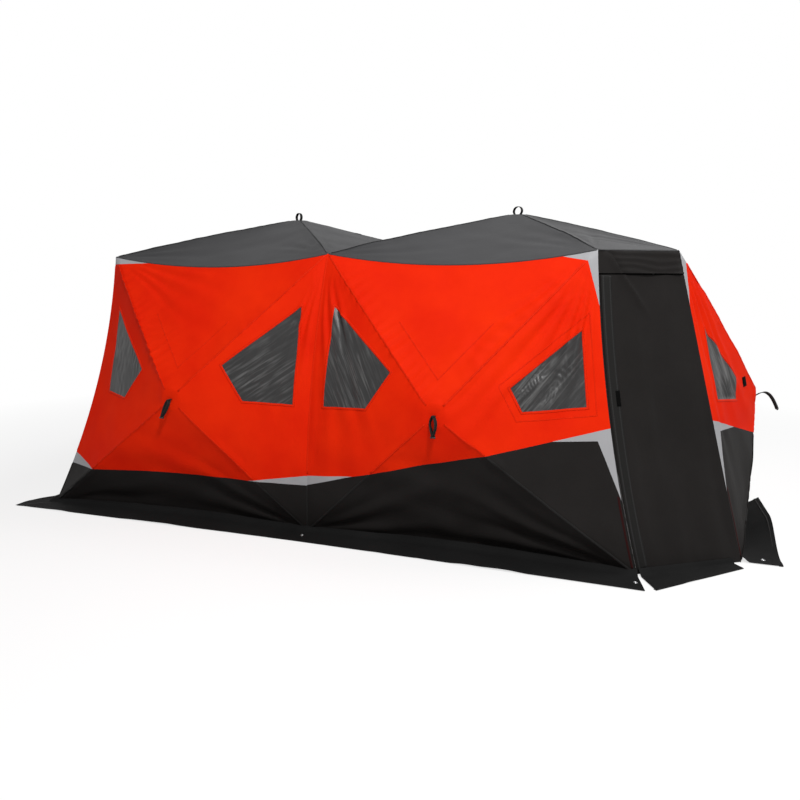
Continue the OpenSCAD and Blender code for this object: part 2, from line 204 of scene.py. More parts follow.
END_HUB = vec(
    lerp(BASE_LEN, EAVE_LEN, HUB_SHARE) / 2 + END_HUB_PUSH,
    lerp(HINGE_BASE[1] - CORNER_BASE[1], HINGE_TOP[1] - CORNER_TOP[1], HUB_SHARE) / 2 + END_BAY_SHIFT,
    HUB_Z,
)
EAVE_BOW = -UP * EAVE_SAG
CORNER_BOW = unit(vec(1, 1, 0)) * CORNER_TUCK
MIDDLE_BOW = FRONT_OUT * SEAM_BOW
LATCH_EDGE_BOW = DOOR_ACROSS * LATCH_BOW
STRAIGHT = vec(0, 0, 0)


def hinge_at(z):
    return lerp(HINGE_BASE, HINGE_TOP, z / EAVE_Z)


def latch_at(z):
    return bowed(LATCH_TOP, LATCH_BASE, LATCH_EDGE_BOW, 1 - z / EAVE_Z)


def quads(tall, wide, around=False, closed=False):
    """Faces between rows of points: around joins each row's ends, closed joins the last row to the first."""
    found = []
    for i in range(tall if closed else tall - 1):
        low, high = i * wide, (i + 1) % tall * wide
        for j in range(wide if around else wide - 1):
            n = (j + 1) % wide
            found.append((low + j, low + n, high + n, high + j))
    return found


class Panel:
    """Fabric pushed out by a hub: its corners clockwise from outside, and the bow of the edge after each."""

    def __init__(self, corners, bows, hub, out, across, rings=WALL_RINGS):
        self.corners, self.bows, self.hub, self.rings = corners, bows, hub, rings
        self.out, self.across, self.up = out, across, np.cross(out, across)

    def rim(self, k, e):
        """A point on edge k, or points where e is a column of shares."""
        return bowed(self.corners[k], self.corners[(k + 1) % len(self.corners)], self.bows[k], e)

    def flat(self, points):
        """Places on the panel's elevation."""
        return np.stack([points @ self.across, points @ self.up], axis=-1)

    def outline(self):
        return np.concatenate([self.rim(k, EDGE_SHARES[:, None]) for k in range(len(self.corners))])

    def grid(self):
        """Points ring by ring from the hub's pad to the rim, with the pad's middle last, and the faces."""
        rim = self.outline()
        count = len(rim)
        shares = np.tile(EDGE_SHARES, len(self.corners))
        ridge = ((1 - 2 * shares) ** 2)[:, None] * self.out * POLE_BOW
        spoke = rim - self.hub
        spoke = unit(spoke - np.outer(spoke @ self.out, self.out)) * PAD_R
        rings = [self.hub + spoke * j / PAD_RINGS for j in range(1, PAD_RINGS)]
        rings += [bowed(self.hub + spoke, rim, ridge, j / self.rings) for j in range(self.rings + 1)]
        points = np.concatenate([*rings, self.hub[None]])
        faces = [(len(points) - 1, (i + 1) % count, i) for i in range(count)]
        return points, faces + quads(len(rings), count, around=True)


FRONT_LEFT = Panel(
    [CORNER_TOP, SEAM_TOP, SEAM_BASE, CORNER_BASE],
    [EAVE_BOW, MIDDLE_BOW, -FRONT_OUT * BASE_TUCK, CORNER_BOW],
    LEFT_HUB, FRONT_OUT, END_OUT,
)
FRONT_RIGHT = Panel(
    [SEAM_TOP, LATCH_TOP, LATCH_BASE, SEAM_BASE],
    [EAVE_BOW, LATCH_EDGE_BOW, -FRONT_OUT * BASE_TUCK, MIDDLE_BOW],
    RIGHT_HUB, FRONT_OUT, END_OUT,
)
RIGHT_END = Panel(
    [HINGE_TOP, FAR_TOP, FAR_BASE, HINGE_BASE],
    [EAVE_BOW, turned(CORNER_BOW), -END_OUT * BASE_TUCK, STRAIGHT],
    END_HUB, END_OUT, -FRONT_OUT,
)
RIGHT_ROOF = Panel(
    [SEAM_TOP, turned(SEAM_TOP), FAR_TOP, HINGE_TOP, LATCH_TOP],
    [UP * VALLEY_RISE, EAVE_BOW, EAVE_BOW, STRAIGHT, EAVE_BOW],
    PEAK, UP, END_OUT, ROOF_RINGS,
)


# Materials
THREAD = 0.0016
# The wave texture turns this far for each unit of its scale
WAVE_TURN = 20
STITCH_PITCH = 0.009
STITCH_SHARE = 0.62
STITCH_W = 0.05
RIB_PITCH = 0.0022
# Streaks of the window film, along and across its creases, for each metre: they shape its creases and place
# its painted highlights
STREAK_RUN = 4.5
STREAK_FINE = 62.0


def plug(tree, made, **inputs):
    """Links or sets a node's inputs, by name with spaces as underscores, or by number as i0.

    A tuple is a colour.
    """
    for key, value in inputs.items():
        socket = made.inputs[int(key[1:]) if key[1:].isdigit() else key.replace("_", " ")]
        if isinstance(value, bpy.types.NodeSocket):
            tree.links.new(value, socket)
        else:
            socket.default_value = (*value, 1) if isinstance(value, tuple) else value


def node(tree, kind, settings=None, **inputs):
    made = tree.nodes.new(kind)
    for key, value in (settings or {}).items():
        setattr(made, key, value)
    plug(tree, made, **inputs)
    return made


def tree_of(name):
    """A new material with its nodes, its main shader and the place on the object."""
    material = bpy.data.materials.new(name)
    material.use_nodes = True
    tree = material.node_tree
    return material, tree, tree.nodes["Principled BSDF"], node(tree, "ShaderNodeTexCoord").outputs["Object"]


def maths(tree, operation, a, b=0.0):
    return node(tree, "ShaderNodeMath", {"operation": operation}, i0=a, i1=b).outputs[0]


def remap(tree, value, low, high, from_low=0.0, from_high=1.0):
    return node(tree, "ShaderNodeMapRange", Value=value, From_Min=from_low, From_Max=from_high,
                To_Min=low, To_Max=high).outputs[0]


def tinted(tree, share, first, second):
    """A colour between two, by a share."""
    mix = node(tree, "ShaderNodeMix", {"data_type": "RGBA"}, Factor=share, A=first, B=second)
    return mix.outputs["Result"]


def mottle(tree, place, scale, detail, **inputs):
    """Noise from 0 to 1."""
    return node(tree, "ShaderNodeTexNoise", Vector=place, Scale=scale, Detail=detail, **inputs).outputs[0]


def bump(tree, height, strength, distance, **inputs):
    return node(tree, "ShaderNodeBump", Height=height, Strength=strength, Distance=distance,
                **inputs).outputs[0]


def strip_of(tree):
    """A strip's own coordinates: along it and across it."""
    return node(tree, "ShaderNodeSeparateXYZ", Vector=node(tree, "ShaderNodeUVMap").outputs[0]).outputs[:2]


def weave_height(tree, place):
    """Threads crossing along the three axes, as a height from 0 to 1."""
    scale = 2 * math.pi / WAVE_TURN / THREAD
    x, y, z = (node(tree, "ShaderNodeTexWave", {"bands_direction": axis}, Vector=place, Scale=scale,
                    Distortion=0.4).outputs[1] for axis in "XYZ")
    return maths(tree, "MULTIPLY", maths(tree, "ADD", maths(tree, "ADD", x, y), z), 1 / 3)


def fabric(name, dark, light, roughness, specular):
    """Woven polyester: threads, soft blotches of colour and small creases."""
    material, tree, shader, place = tree_of(name)
    cloud = mottle(tree, place, scale=1.7, detail=5.0, Roughness=0.6)
    grain = mottle(tree, place, scale=420.0, detail=2.0)
    creases = mottle(tree, place, scale=26.0, detail=4.0, Distortion=0.6)
    share = maths(tree, "ADD", remap(tree, cloud, 0.0, 0.75, 0.3, 0.7), maths(tree, "MULTIPLY", grain, 0.25))
    soft = bump(tree, creases, strength=0.16, distance=0.006)
    plug(tree, shader, Base_Color=tinted(tree, share, dark, light), Specular_IOR_Level=specular,
         Roughness=remap(tree, grain, roughness - 0.06, roughness + 0.06),
         Normal=bump(tree, weave_height(tree, place), strength=0.2, distance=0.0005, Normal=soft))
    return material


def stitched(name, dark, light, thread, rows=0.3):
    """Binding tape: a ribbed weave with two rows of stitches, by the strip's own coordinates."""
    material, tree, shader, place = tree_of(name)
    run, side = strip_of(tree)
    off_row = maths(tree, "ABSOLUTE", maths(tree, "SUBTRACT", maths(tree, "ABSOLUTE", side), rows))
    along = maths(tree, "FRACT", maths(tree, "DIVIDE", run, STITCH_PITCH))
    in_stitch = maths(tree, "LESS_THAN", along, STITCH_SHARE)
    mask = maths(tree, "MULTIPLY", maths(tree, "LESS_THAN", off_row, STITCH_W), in_stitch)
    rib = maths(tree, "SINE", maths(tree, "MULTIPLY", run, 2 * math.pi / RIB_PITCH))
    height = maths(tree, "ADD", maths(tree, "MULTIPLY", rib, 0.25), mask)
    grain = mottle(tree, place, scale=300.0, detail=3.0)
    plug(tree, shader, Base_Color=tinted(tree, mask, tinted(tree, grain, dark, light), thread),
         Roughness=remap(tree, grain, 0.52, 0.68), Normal=bump(tree, height, strength=0.5, distance=0.0008),
         Specular_IOR_Level=0.06)
    return material


def vinyl(name):
    """Clear window film whose near-black colour is painted shade of the dark inside behind it, with painted
    highlights as pale streaks along its creases, which come in patches.
    """
    material, tree, shader, place = tree_of(name)
    run, side = strip_of(tree)
    stretched = node(tree, "ShaderNodeCombineXYZ", i0=maths(tree, "MULTIPLY", run, STREAK_RUN),
                     i1=maths(tree, "MULTIPLY", side, STREAK_FINE)).outputs[0]
    crease_and_glint = mottle(tree, stretched, scale=1.0, detail=3.0, Distortion=0.7)
    creased = remap(tree, mottle(tree, place, scale=4.2, detail=2.0), 0.16, 1.0, 0.42, 0.62)
    # pale is a painted highlight: it lifts the film's near-black colour, itself painted shade of the inside,
    # to pale grey along the strongest creases
    pale = maths(tree, "MULTIPLY", remap(tree, crease_and_glint, 0.0, 1.0, 0.46, 0.82), creased)
    plug(tree, shader, Base_Color=tinted(tree, pale, (0.032, 0.031, 0.031), (0.21, 0.21, 0.207)),
         Roughness=remap(tree, crease_and_glint, 0.3, 0.5),
         Normal=bump(tree, maths(tree, "MULTIPLY", crease_and_glint, creased), strength=0.7, distance=0.004),
         Transmission_Weight=0.3, Specular_IOR_Level=0.3, IOR=1.45)
    return material


def hard(name, dark, light, roughness, metallic=0.0):
    """Moulded plastic, painted rod or metal, with fine grain and worn patches."""
    material, tree, shader, place = tree_of(name)
    wear = mottle(tree, place, scale=15.0, detail=4.0)
    grain = mottle(tree, place, scale=720.0, detail=2.0)
    plug(tree, shader, Base_Color=tinted(tree, wear, dark, light), Metallic=metallic,
         Roughness=remap(tree, wear, roughness - 0.1, roughness + 0.1),
         Normal=bump(tree, grain, strength=0.3, distance=0.0003))
    return material


# Dark and light colour, then roughness and specular of a fabric, the thread of a tape, or roughness alone
RED = fabric("red_fabric", (0.62, 0.009, 0.0005), (0.78, 0.024, 0.001), 0.7, 0.05)
BLACK = fabric("black_fabric", (0.008, 0.007, 0.0066), (0.014, 0.0124, 0.0118), 0.62, 0.08)
LINING = fabric("black_lining", (0.006, 0.006, 0.006), (0.012, 0.012, 0.012), 0.75, 0.05)
GREY = fabric("reflective_fabric", (0.29, 0.29, 0.3), (0.36, 0.36, 0.372), 0.5, 0.1)
ROOF = fabric("roof_fabric", (0.026, 0.026, 0.027), (0.038, 0.038, 0.04), 0.6, 0.15)
RED_TAPE = stitched("red_tape", (0.6, 0.01, 0.0005), (0.76, 0.026, 0.001), (0.38, 0.002, 0.0005))
BLACK_TAPE = stitched("black_tape", (0.008, 0.008, 0.008), (0.018, 0.017, 0.016), (0.03, 0.03, 0.03))
# The roof tape is painted lighter than the roof cloth: painted light, so that its welts, which render darker
# from their shade and weaker sheen, don't show as dark lines
ROOF_TAPE = stitched("roof_tape", (0.042, 0.042, 0.043), (0.058, 0.058, 0.06), (0.034, 0.034, 0.034))
DARK_RED_TAPE = stitched("dark_red_tape", (0.014, 0.004, 0.004), (0.024, 0.005, 0.005), (0.06, 0.004, 0.004))
HOOK_TAPE = fabric("hook_tape", (0.002, 0.002, 0.002), (0.004, 0.004, 0.004), 0.8, 0.02)
WEBBING = stitched("webbing", (0.01, 0.01, 0.01), (0.022, 0.021, 0.02), (0.04, 0.04, 0.04), rows=0.36)
VINYL = vinyl("clear_vinyl")
POLE = hard("pole_fibreglass", (0.02, 0.02, 0.022), (0.045, 0.045, 0.048), 0.35)
PLASTIC = hard("moulded_plastic", (0.008, 0.008, 0.008), (0.02, 0.02, 0.02), 0.45)
METAL = hard("grommet_metal", (0.35, 0.35, 0.36), (0.6, 0.6, 0.61), 0.3, metallic=1.0)


# Pieces
class Shape:
    """Gathers points, faces and strip coordinates until they become one mesh."""

    def __init__(self):
        self.points, self.faces, self.strip = [], [], []

    def add(self, points, faces, strip=None):
        start = len(self.points)
        self.points += [tuple(p) for p in points]
        self.faces += [tuple(start + i for i in f) for f in faces]
        self.strip += [tuple(s) for s in strip] if strip is not None else [(0.0, 0.0)] * len(points)

    def mesh(self):
        made = bpy.data.meshes.new("piece")
        made.from_pydata(self.points, [], self.faces)
        layer = made.uv_layers.new(name="strip")
        corners = np.zeros(len(made.loops), np.int32)
        made.loops.foreach_get("vertex_index", corners)
        layer.data.foreach_set("uv", np.array(self.strip, np.float32)[corners].ravel())
        made.polygons.foreach_set("use_smooth", np.ones(len(made.polygons), bool))
        made.update()
        return made


def area_of(mesh):
    return sum(p.area for p in mesh.polygons)


def other_name(name):
    for a, b in TWINS.items():
        if name.startswith(a):
            return b + name[len(a):]
    return name


def sharp_rim(mesh):
    """Marks a sheet's outline sharp, so that the rim of its thickness doesn't darken its face."""
    used = np.zeros(len(mesh.loops), np.int32)
    mesh.loops.foreach_get("edge_index", used)
    mesh.edges.foreach_set("use_edge_sharp", np.bincount(used, minlength=len(mesh.edges)) == 1)


def add_object(name, data):
    obj = bpy.data.objects.new(name, data)
    bpy.context.scene.collection.objects.link(obj)
    return obj


def piece(name, mesh, materials, replaces=(), thickness=0.0, sheet=None, body="shelter"):
    """Makes a piece and its twin. A sheet is its flat size and how it is held; it is not used."""
    for material in materials:
        mesh.materials.append(material)
    if thickness:
        sharp_rim(mesh)
    for named in (str, other_name):
        data = mesh
        if named is other_name:
            data = mesh.copy()
            data.transform(HALF_TURN)
        data.name = named(name)
        obj = add_object(named(name), data)
        if thickness:
            solid = obj.modifiers.new("thickness", "SOLIDIFY")
            solid.thickness = thickness
            solid.offset = -1
            solid.material_offset = len(materials) - 1
        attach(obj, named(body))
        if replaces:
            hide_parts(*[named(n) for n in replaces])


# Strip section: places across it and heights, as shares of its width and height
SECTION = [(-0.5, 0.0), (-0.46, 0.7), (-0.3, 1.0), (0.0, 1.0), (0.3, 1.0), (0.46, 0.7), (0.5, 0.0)]
SINK = 0.001
# A strip's widening where it turns a corner
MITRE_TURN = 0.6
MITRE_MOST = 1.6


def ribbon(shape, path, normals, width, height, closed=False, sink=SINK):
    """Adds a flat strip with soft edges along a path that lies on a surface."""
    path, normals = np.array(path, float), unit(np.array(normals, float))
    if closed:
        before, after = np.roll(path, 1, axis=0), np.roll(path, -1, axis=0)
    else:
        before, after = np.vstack([path[:1], path[:-1]]), np.vstack([path[1:], path[-1:]])
    tangent = unit(after - before)
    side = unit(np.cross(tangent, normals))
    step = unit(np.where((after - path).any(axis=1, keepdims=True), after - path, path - before))
    mitre = np.minimum(1 / np.maximum((step * tangent).sum(axis=1), MITRE_TURN), MITRE_MOST)[:, None]
    run = run_along(path)
    count, wide = len(path), len(SECTION)
    points, strip = [], []
    for x, h in SECTION:
        points.append(path + side * width * x * mitre + (h * (height + sink) - sink) * normals)
        strip.append(np.stack([run, np.full(count, x)], axis=1))
    faces = [(a, d, c, b) for a, b, c, d in quads(count, wide, around=True, closed=closed)]
    if not closed:
        faces.append(tuple(range(wide)))
        faces.append(tuple((count - 1) * wide + j for j in reversed(range(wide))))
    shape.add(np.stack(points, axis=1).reshape(-1, 3), faces, np.stack(strip, axis=1).reshape(-1, 2))


def lattice(shape, rows):
    """Adds a sheet through rows of points; its face looks along (next point) x (next row)."""
    shape.add(rows.reshape(-1, 3), quads(*rows.shape[:2]))


def inside(points, polygon):
    """Which points lie in a polygon."""
    found = np.zeros(len(points), bool)
    x, y = points[:, 0], points[:, 1]
    for a, b in zip(polygon, np.roll(polygon, -1, axis=0)):
        crosses = (a[1] > y) != (b[1] > y)
        with np.errstate(divide="ignore", invalid="ignore"):
            found ^= crosses & (x < (b[0] - a[0]) * (y - a[1]) / (b[1] - a[1]) + a[0])
    return found


# Folds and creases, as heights over a panel's elevation
# Gathers start and end at these shares of their line
GATHER_START = (0.06, 0.2)
GATHER_END = (0.82, 0.96)
# Folds of a fan that are narrower than this fade out towards its apex
FOLD_MIN = 0.05
FAN_EDGE = 0.55
# Creases fade at the panel's rim, and hollows fade beside its poles, so that no pole comes through
RIM_FADE = 0.07
POLE_CLEAR = (0.012, 0.05)


def gathers(at, a, b, side, period, height, width, seed):
    """Small folds across the line from a to b, mostly on its left (side 1) or right (side -1)."""
    d = b - a
    length = np.linalg.norm(d)
    t = (at - a) @ d / length**2
    off = ((at - a) @ vec(-d[1], d[0])) / length * side
    turns = t * length / period
    wave = np.sin(2 * np.pi * (turns + 0.6 * noise(turns * 0.35, off * 7, seed)))
    strong = 0.55 + 0.45 * noise(turns * 0.5, np.zeros(len(t)), seed + 1)
    fall = np.exp(-np.abs(off) / np.where(off > 0, width, 0.2 * width))
    return height * (0.5 + 0.5 * wave) * strong * fall * between(GATHER_START, GATHER_END, t)


def fan(at, apex, toward, half_angle, count, height, reach, seed):
    """Tension folds that spread from a corner."""
    v, d = at - apex, toward - apex
    r = np.linalg.norm(v, axis=1)
    angle = np.arctan2(d[0] * v[:, 1] - d[1] * v[:, 0], v @ d) / half_angle
    bend = angle + 0.12 * noise(r * 3, angle * 1.5, seed)
    wave = np.cos(bend * math.pi * count / 2) * (0.65 + 0.35 * noise(angle * count * 0.7, r * 1.3, seed + 1))
    wide = np.minimum(1, 4 * half_angle * r / count / FOLD_MIN)
    fade = (r / reach) * np.exp(1 - r / reach) * (1 - smooth(FAN_EDGE, 1.0, np.abs(angle)))
    return height * wave * wide * fade


def slack(at, size, height, seed):
    x, y = at[:, 0] / size, at[:, 1] / size
    return height * (noise(x, y, seed) + 0.5 * noise(x * 2.1, y * 2.1, seed + 1))


def arrays_of(bm):
    """Points, normals and faces of a mesh in the making, which ends here."""
    bm.normal_update()
    bm.verts.index_update()
    points = np.array([v.co for v in bm.verts])
    normals = np.array([v.normal for v in bm.verts])
    faces = [tuple(v.index for v in f.verts) for f in bm.faces]
    bm.free()
    return points, normals, faces


class Cloth:
    """A panel cut along its zones and creased, ready to be split into pieces."""

    def __init__(self, panel, zones, folds):
        self.panel, self.zones = panel, zones
        points, faces = panel.grid()
        bm = bmesh.new()
        verts = [bm.verts.new(p) for p in points]
        for f in faces:
            bm.faces.new([verts[i] for i in f])
        for _, polygon in zones:
            for a, b in zip(polygon, np.roll(polygon, -1, axis=0)):
                self.score(bm, a, b)
        bmesh.ops.remove_doubles(bm, verts=bm.verts[:], dist=WELD)
        base, normals, self.faces = arrays_of(bm)
        at = panel.flat(base)
        height = folds(at) * smooth(0.0, RIM_FADE, distance_to(at, panel.flat(panel.outline())))
        height = np.where(height < 0, height * smooth(*POLE_CLEAR, self.ridge_distance(at)), height)
        self.points = base + normals * height[:, None]
        self.kinds = kinds_at(zones, np.array([at[list(f)].mean(axis=0) for f in self.faces]))
        self.tree = BVHTree.FromPolygons([Vector(p) for p in self.points], self.faces)

    def ridge_distance(self, at):
        """How far each place is from the nearest pole or from the hub's disc."""
        hub = self.panel.flat(self.panel.hub)
        found = np.maximum(np.linalg.norm(at - hub, axis=1) - PAD_R, 0)
        for corner in self.panel.corners:
            d = self.panel.flat(corner) - hub
            t = np.clip((at - hub) @ d / (d @ d), 0, 1)
            found = np.minimum(found, np.linalg.norm(at - hub - t[:, None] * d, axis=1))
        return found

    def score(self, bm, a, b):
        """Cuts the mesh along the elevation's line from a to b."""
        panel = self.panel
        low, high = np.minimum(a, b) - CUT_MARGIN, np.maximum(a, b) + CUT_MARGIN
        geom = set()
        for f in bm.faces:
            c = np.array(f.calc_center_median())
            x, y = c @ panel.across, c @ panel.up
            if low[0] < x < high[0] and low[1] < y < high[1]:
                geom.update([f], f.edges, f.verts)
        normal = panel.across * (b[1] - a[1]) - panel.up * (b[0] - a[0])
        where = panel.across * a[0] + panel.up * a[1]
        if geom:
            bmesh.ops.bisect_plane(bm, geom=list(geom), dist=CUT_TOUCH, plane_co=Vector(where),
                                   plane_no=Vector(unit(normal)))

    def part(self, kind):
        """The mesh of all faces of one kind of zone."""
        faces = [f for f, k in zip(self.faces, self.kinds) if k == kind]
        used = sorted({i for f in faces for i in f})
        place = {v: i for i, v in enumerate(used)}
        shape = Shape()
        shape.add(self.points[used], [[place[i] for i in f] for f in faces])
        return shape.mesh()

    def lay(self, at):
        """Points of the cloth's face over places on the elevation, and the normals there."""
        panel = self.panel
        points, normals = [], []
        for x, y in at:
            start = panel.across * x + panel.up * y + panel.out * (panel.hub @ panel.out + 1)
            hit, normal, _, _ = self.tree.ray_cast(Vector(start), Vector(-panel.out))
            if hit is None:
                hit, normal, _, _ = self.tree.find_nearest(Vector(start - panel.out))
            points.append(np.array(hit))
            normals.append(np.array(normal))
        return np.array(points), np.array(normals)


def kinds_at(zones, at):
    """The kind of zone at each place. Earlier zones lie on top, and red is the empty kind."""
    found = np.full(len(at), "", dtype=object)
    for kind, polygon in reversed(zones):
        found[inside(at, polygon)] = kind
    return found


# Zones of the walls, drawn on their elevations
# A window's points are shares of the hub and of the eave's corner
SEAM_WINDOW = [(0.13, 0.75), (0.645, 0.295), (0.475, 0.25), (0.12, 0.41)]
CORNER_WINDOW = [(0.17, 0.71), (0.61, 0.28), (0.47, 0.23), (0.25, 0.35)]
DOOR_WINDOW = [(0.14, 0.68), (0.56, 0.3), (0.51, 0.25), (0.16, 0.435)]

# Sizes of the light grey patches
PATCH_RUN = 0.2
PATCH_DROP = 0.31
PATCH_INSET = vec(0.05, 0.062)
PLAIN_PATCH_RUN = 0.304
PLAIN_PATCH_DROP = 0.055
LOW_PATCH_RISE = 0.08
LOW_PATCH_RUN = 0.3
DIAMOND_TOP = 0.37
DIAMOND_FOOT = 0.308
DIAMOND_LEFT = -0.665
DIAMOND_RIGHT = 0.063
DOOR_PATCH_RUN = 0.3
DOOR_PATCH_DROP = 0.4
DOOR_PATCH_INSET = vec(0.06, 0.07)
SIDE_STEPS = 200

# The lines between red and black
LEFT_LINE = [vec(CORNER_BASE[0], BAND_CORNER_Z), vec(SEAM_BASE[0], BAND_SEAM_Z)]
RIGHT_LINE = [
    vec(SEAM_BASE[0], BAND_SEAM_Z),
    vec(lerp(LATCH_BASE, LATCH_TOP, BAND_DOOR_Z / EAVE_Z)[0], BAND_DOOR_Z),
]
END_LINE = [RIGHT_END.flat(hinge_at(BAND_DOOR_Z)), vec(FAR_BASE[1], BAND_CORNER_Z)]


def panes_of(panel, *windows):
    """The panes left and right of the hub."""
    found = []
    for top, base, shares in zip(panel.corners[:2], panel.corners[:1:-1], windows):
        found.append(panel.flat(np.array([panel.hub * h + top * t + base * (1 - h - t) for h, t in shares])))
    return found


def below(line):
    """Everything under a line, and past its ends."""
    run = unit(line[1] - line[0])
    a, b = line[0] - run * OUTSIDE, line[1] + run * OUTSIDE
    return np.array([a, b, (b[0], -OUTSIDE), (a[0], -OUTSIDE)])


def on_line(line, x):
    a, b = line
    return vec(x, lerp(a[1], b[1], (x - a[0]) / (b[0] - a[0])))


def eave_patch(tip, inner, foot, corner, outward):
    """A reinforcement at an eave corner, from its tip on the eave to its foot on the side edge."""
    far, up = vec(outward * OUTSIDE, 0), vec(0, OUTSIDE)
    return np.array([tip, *inner, foot, foot + far, corner + far + up, tip + up])


def plain_corner(panel, line, eave_share, side_edge, outward):
    """The two grey triangles at a plain corner: under the eave, and over the band."""
    side = panel.flat(panel.rim(side_edge, column(0, 1, SIDE_STEPS)))

    def side_at(z):
        return side[np.argmin(np.abs(side[:, 1] - z))]

    low = on_line(line, side_at(BAND_CORNER_Z)[0])
    rise = side_at(BAND_CORNER_Z + LOW_PATCH_RISE)
    tip = on_line(line, low[0] - outward * LOW_PATCH_RUN)
    far = vec(outward * OUTSIDE, 0)
    corner = panel.flat(panel.corners[0 if outward < 0 else 1])
    eave_tip = panel.flat(panel.rim(0, eave_share))
    return [
        eave_patch(eave_tip, [], side_at(EAVE_Z - PLAIN_PATCH_DROP), corner, outward),
        np.array([rise, rise + far, low + far, low, tip]),
    ]


def door_corner(panel, line, edge_at, outward):
    """The two grey kites beside a door: under the eave, and under the band's line."""
    corner = panel.flat(edge_at(EAVE_Z))
    share = PATCH_RUN / np.linalg.norm(panel.corners[1] - panel.corners[0])
    tip = panel.flat(panel.rim(0, 1 - share if outward > 0 else share))
    inner = corner - PATCH_INSET * vec(outward, 1)
    band = on_line(line, panel.flat(edge_at(BAND_DOOR_Z))[0])
    low_tip = on_line(line, band[0] - outward * DOOR_PATCH_RUN)
    low_foot = panel.flat(edge_at(BAND_DOOR_Z - DOOR_PATCH_DROP))
    low_inner = band - DOOR_PATCH_INSET * vec(outward, 1)
    slope = (band - low_tip) / abs(band[0] - low_tip[0]) * OUTSIDE
    return [
        eave_patch(tip, [inner], panel.flat(edge_at(EAVE_Z - PATCH_DROP)), corner, outward),
        np.array([low_tip, band + slope, low_foot + vec(outward * OUTSIDE, 0), low_foot, low_inner]),
    ]


def seam_diamond(line, tip_x, outward):
    far = vec(outward * OUTSIDE, 0)
    top, foot = vec(SEAM_BASE[0], DIAMOND_TOP), vec(SEAM_BASE[0], DIAMOND_FOOT)
    return np.array([on_line(line, tip_x), top, top + far, foot + far, foot])


# Folds of the walls and roofs
WALL_SLACK = (0.24, 0.006)
ROOF_SLACK = (0.26, 0.004)
ROOF_FAN = (0.7, 11, 0.005, 0.2)
ROOF_GATHER = (0.09, 0.0025, 0.07)
ROOF_SEED = 41
ROOF_GATHER_SEED = 60
# Where the creases of the plain corner point, beside the eave's seam
CORNER_AIM = FRONT_LEFT.flat(SEAM_TOP) + vec(-0.3, -0.45)


def wall_folds(panel, seed, gathered, fanned):
    """A wall's folds, each with the next seed.

    Gathers are a corner, side, period, height and width. Fans are a corner, the corner or place that they
    point at, how far towards the hub from there, half angle, count, height and reach.
    """
    flat = [panel.flat(c) for c in panel.corners]
    hub = panel.flat(panel.hub)

    def folds(at):
        total = np.zeros(len(at))
        for i, (corner, *sizes) in enumerate(gathered, seed):
            total += gathers(at, flat[corner], hub, *sizes, i)
        for i, (corner, target, share, *sizes) in enumerate(fanned, seed + len(gathered)):
            toward = flat[target] if isinstance(target, int) else target
            total += fan(at, flat[corner], lerp(toward, hub, share), *sizes, i)
        return total + slack(at, *WALL_SLACK, seed + len(gathered) + len(fanned))

    return folds


def roof_folds(at):
    hub = RIGHT_ROOF.flat(RIGHT_ROOF.hub)
    total = slack(at, *ROOF_SLACK, ROOF_SEED)
    for i, corner in enumerate(RIGHT_ROOF.flat(c) for c in RIGHT_ROOF.corners):
        total += fan(at, corner, hub, *ROOF_FAN, ROOF_SEED + 1 + 2 * i)
        total += gathers(at, corner, hub, 1 if i % 2 else -1, *ROOF_GATHER, ROOF_GATHER_SEED + i)
    return total


# Camera, light and floor
CAMERA_PLACE = (1.5939, -5.2799, 1.575)
CAMERA_TURN = math.radians(20.125)
CAMERA_TILT = math.radians(9.044)
LENS_MM = 32.795
SENSOR_MM = 36.0
SHIFT_X = 0.05
WHITE = (1, 1, 1)
WORLD_LIGHT = 0.3
FLOOR_SHADE = 0.3
FLOOR_NEAR = 3.0
FLOOR_FAR = 6.5
FLOOR_R = 40.0


def mixed(tree, share, first, second):
    return node(tree, "ShaderNodeMixShader", i0=share, i1=first.outputs[0], i2=second.outputs[0])


def backdrop(tree, output, plain, seen):
    """Shows one shader to the rays that see the backdrop, and the plain one to the rest."""
    path = node(tree, "ShaderNodeLightPath").outputs
    share = maths(tree, "MAXIMUM", path["Is Camera Ray"], path["Is Glossy Ray"])
    share = maths(tree, "MAXIMUM", share, path["Is Transmission Ray"])
    plug(tree, tree.nodes[output], Surface=mixed(tree, share, plain, seen).outputs[0])


def make_camera():
    data = bpy.data.cameras.new("camera")
    data.sensor_width = SENSOR_MM
    data.lens = LENS_MM
    data.shift_x = SHIFT_X
    camera = add_object("camera", data)
    camera.location = CAMERA_PLACE
    camera.rotation_euler = (math.pi / 2 - CAMERA_TILT, 0, CAMERA_TURN)
    bpy.context.scene.camera = camera


def make_world():
    world = bpy.data.worlds.new("studio")
    bpy.context.scene.world = world
    world.use_nodes = True
    tree = world.node_tree
    light = tree.nodes["Background"]
    plug(tree, light, Color=WHITE, Strength=WORLD_LIGHT)
    backdrop(tree, "World Output", light, node(tree, "ShaderNodeBackground", Color=WHITE, Strength=1.0))


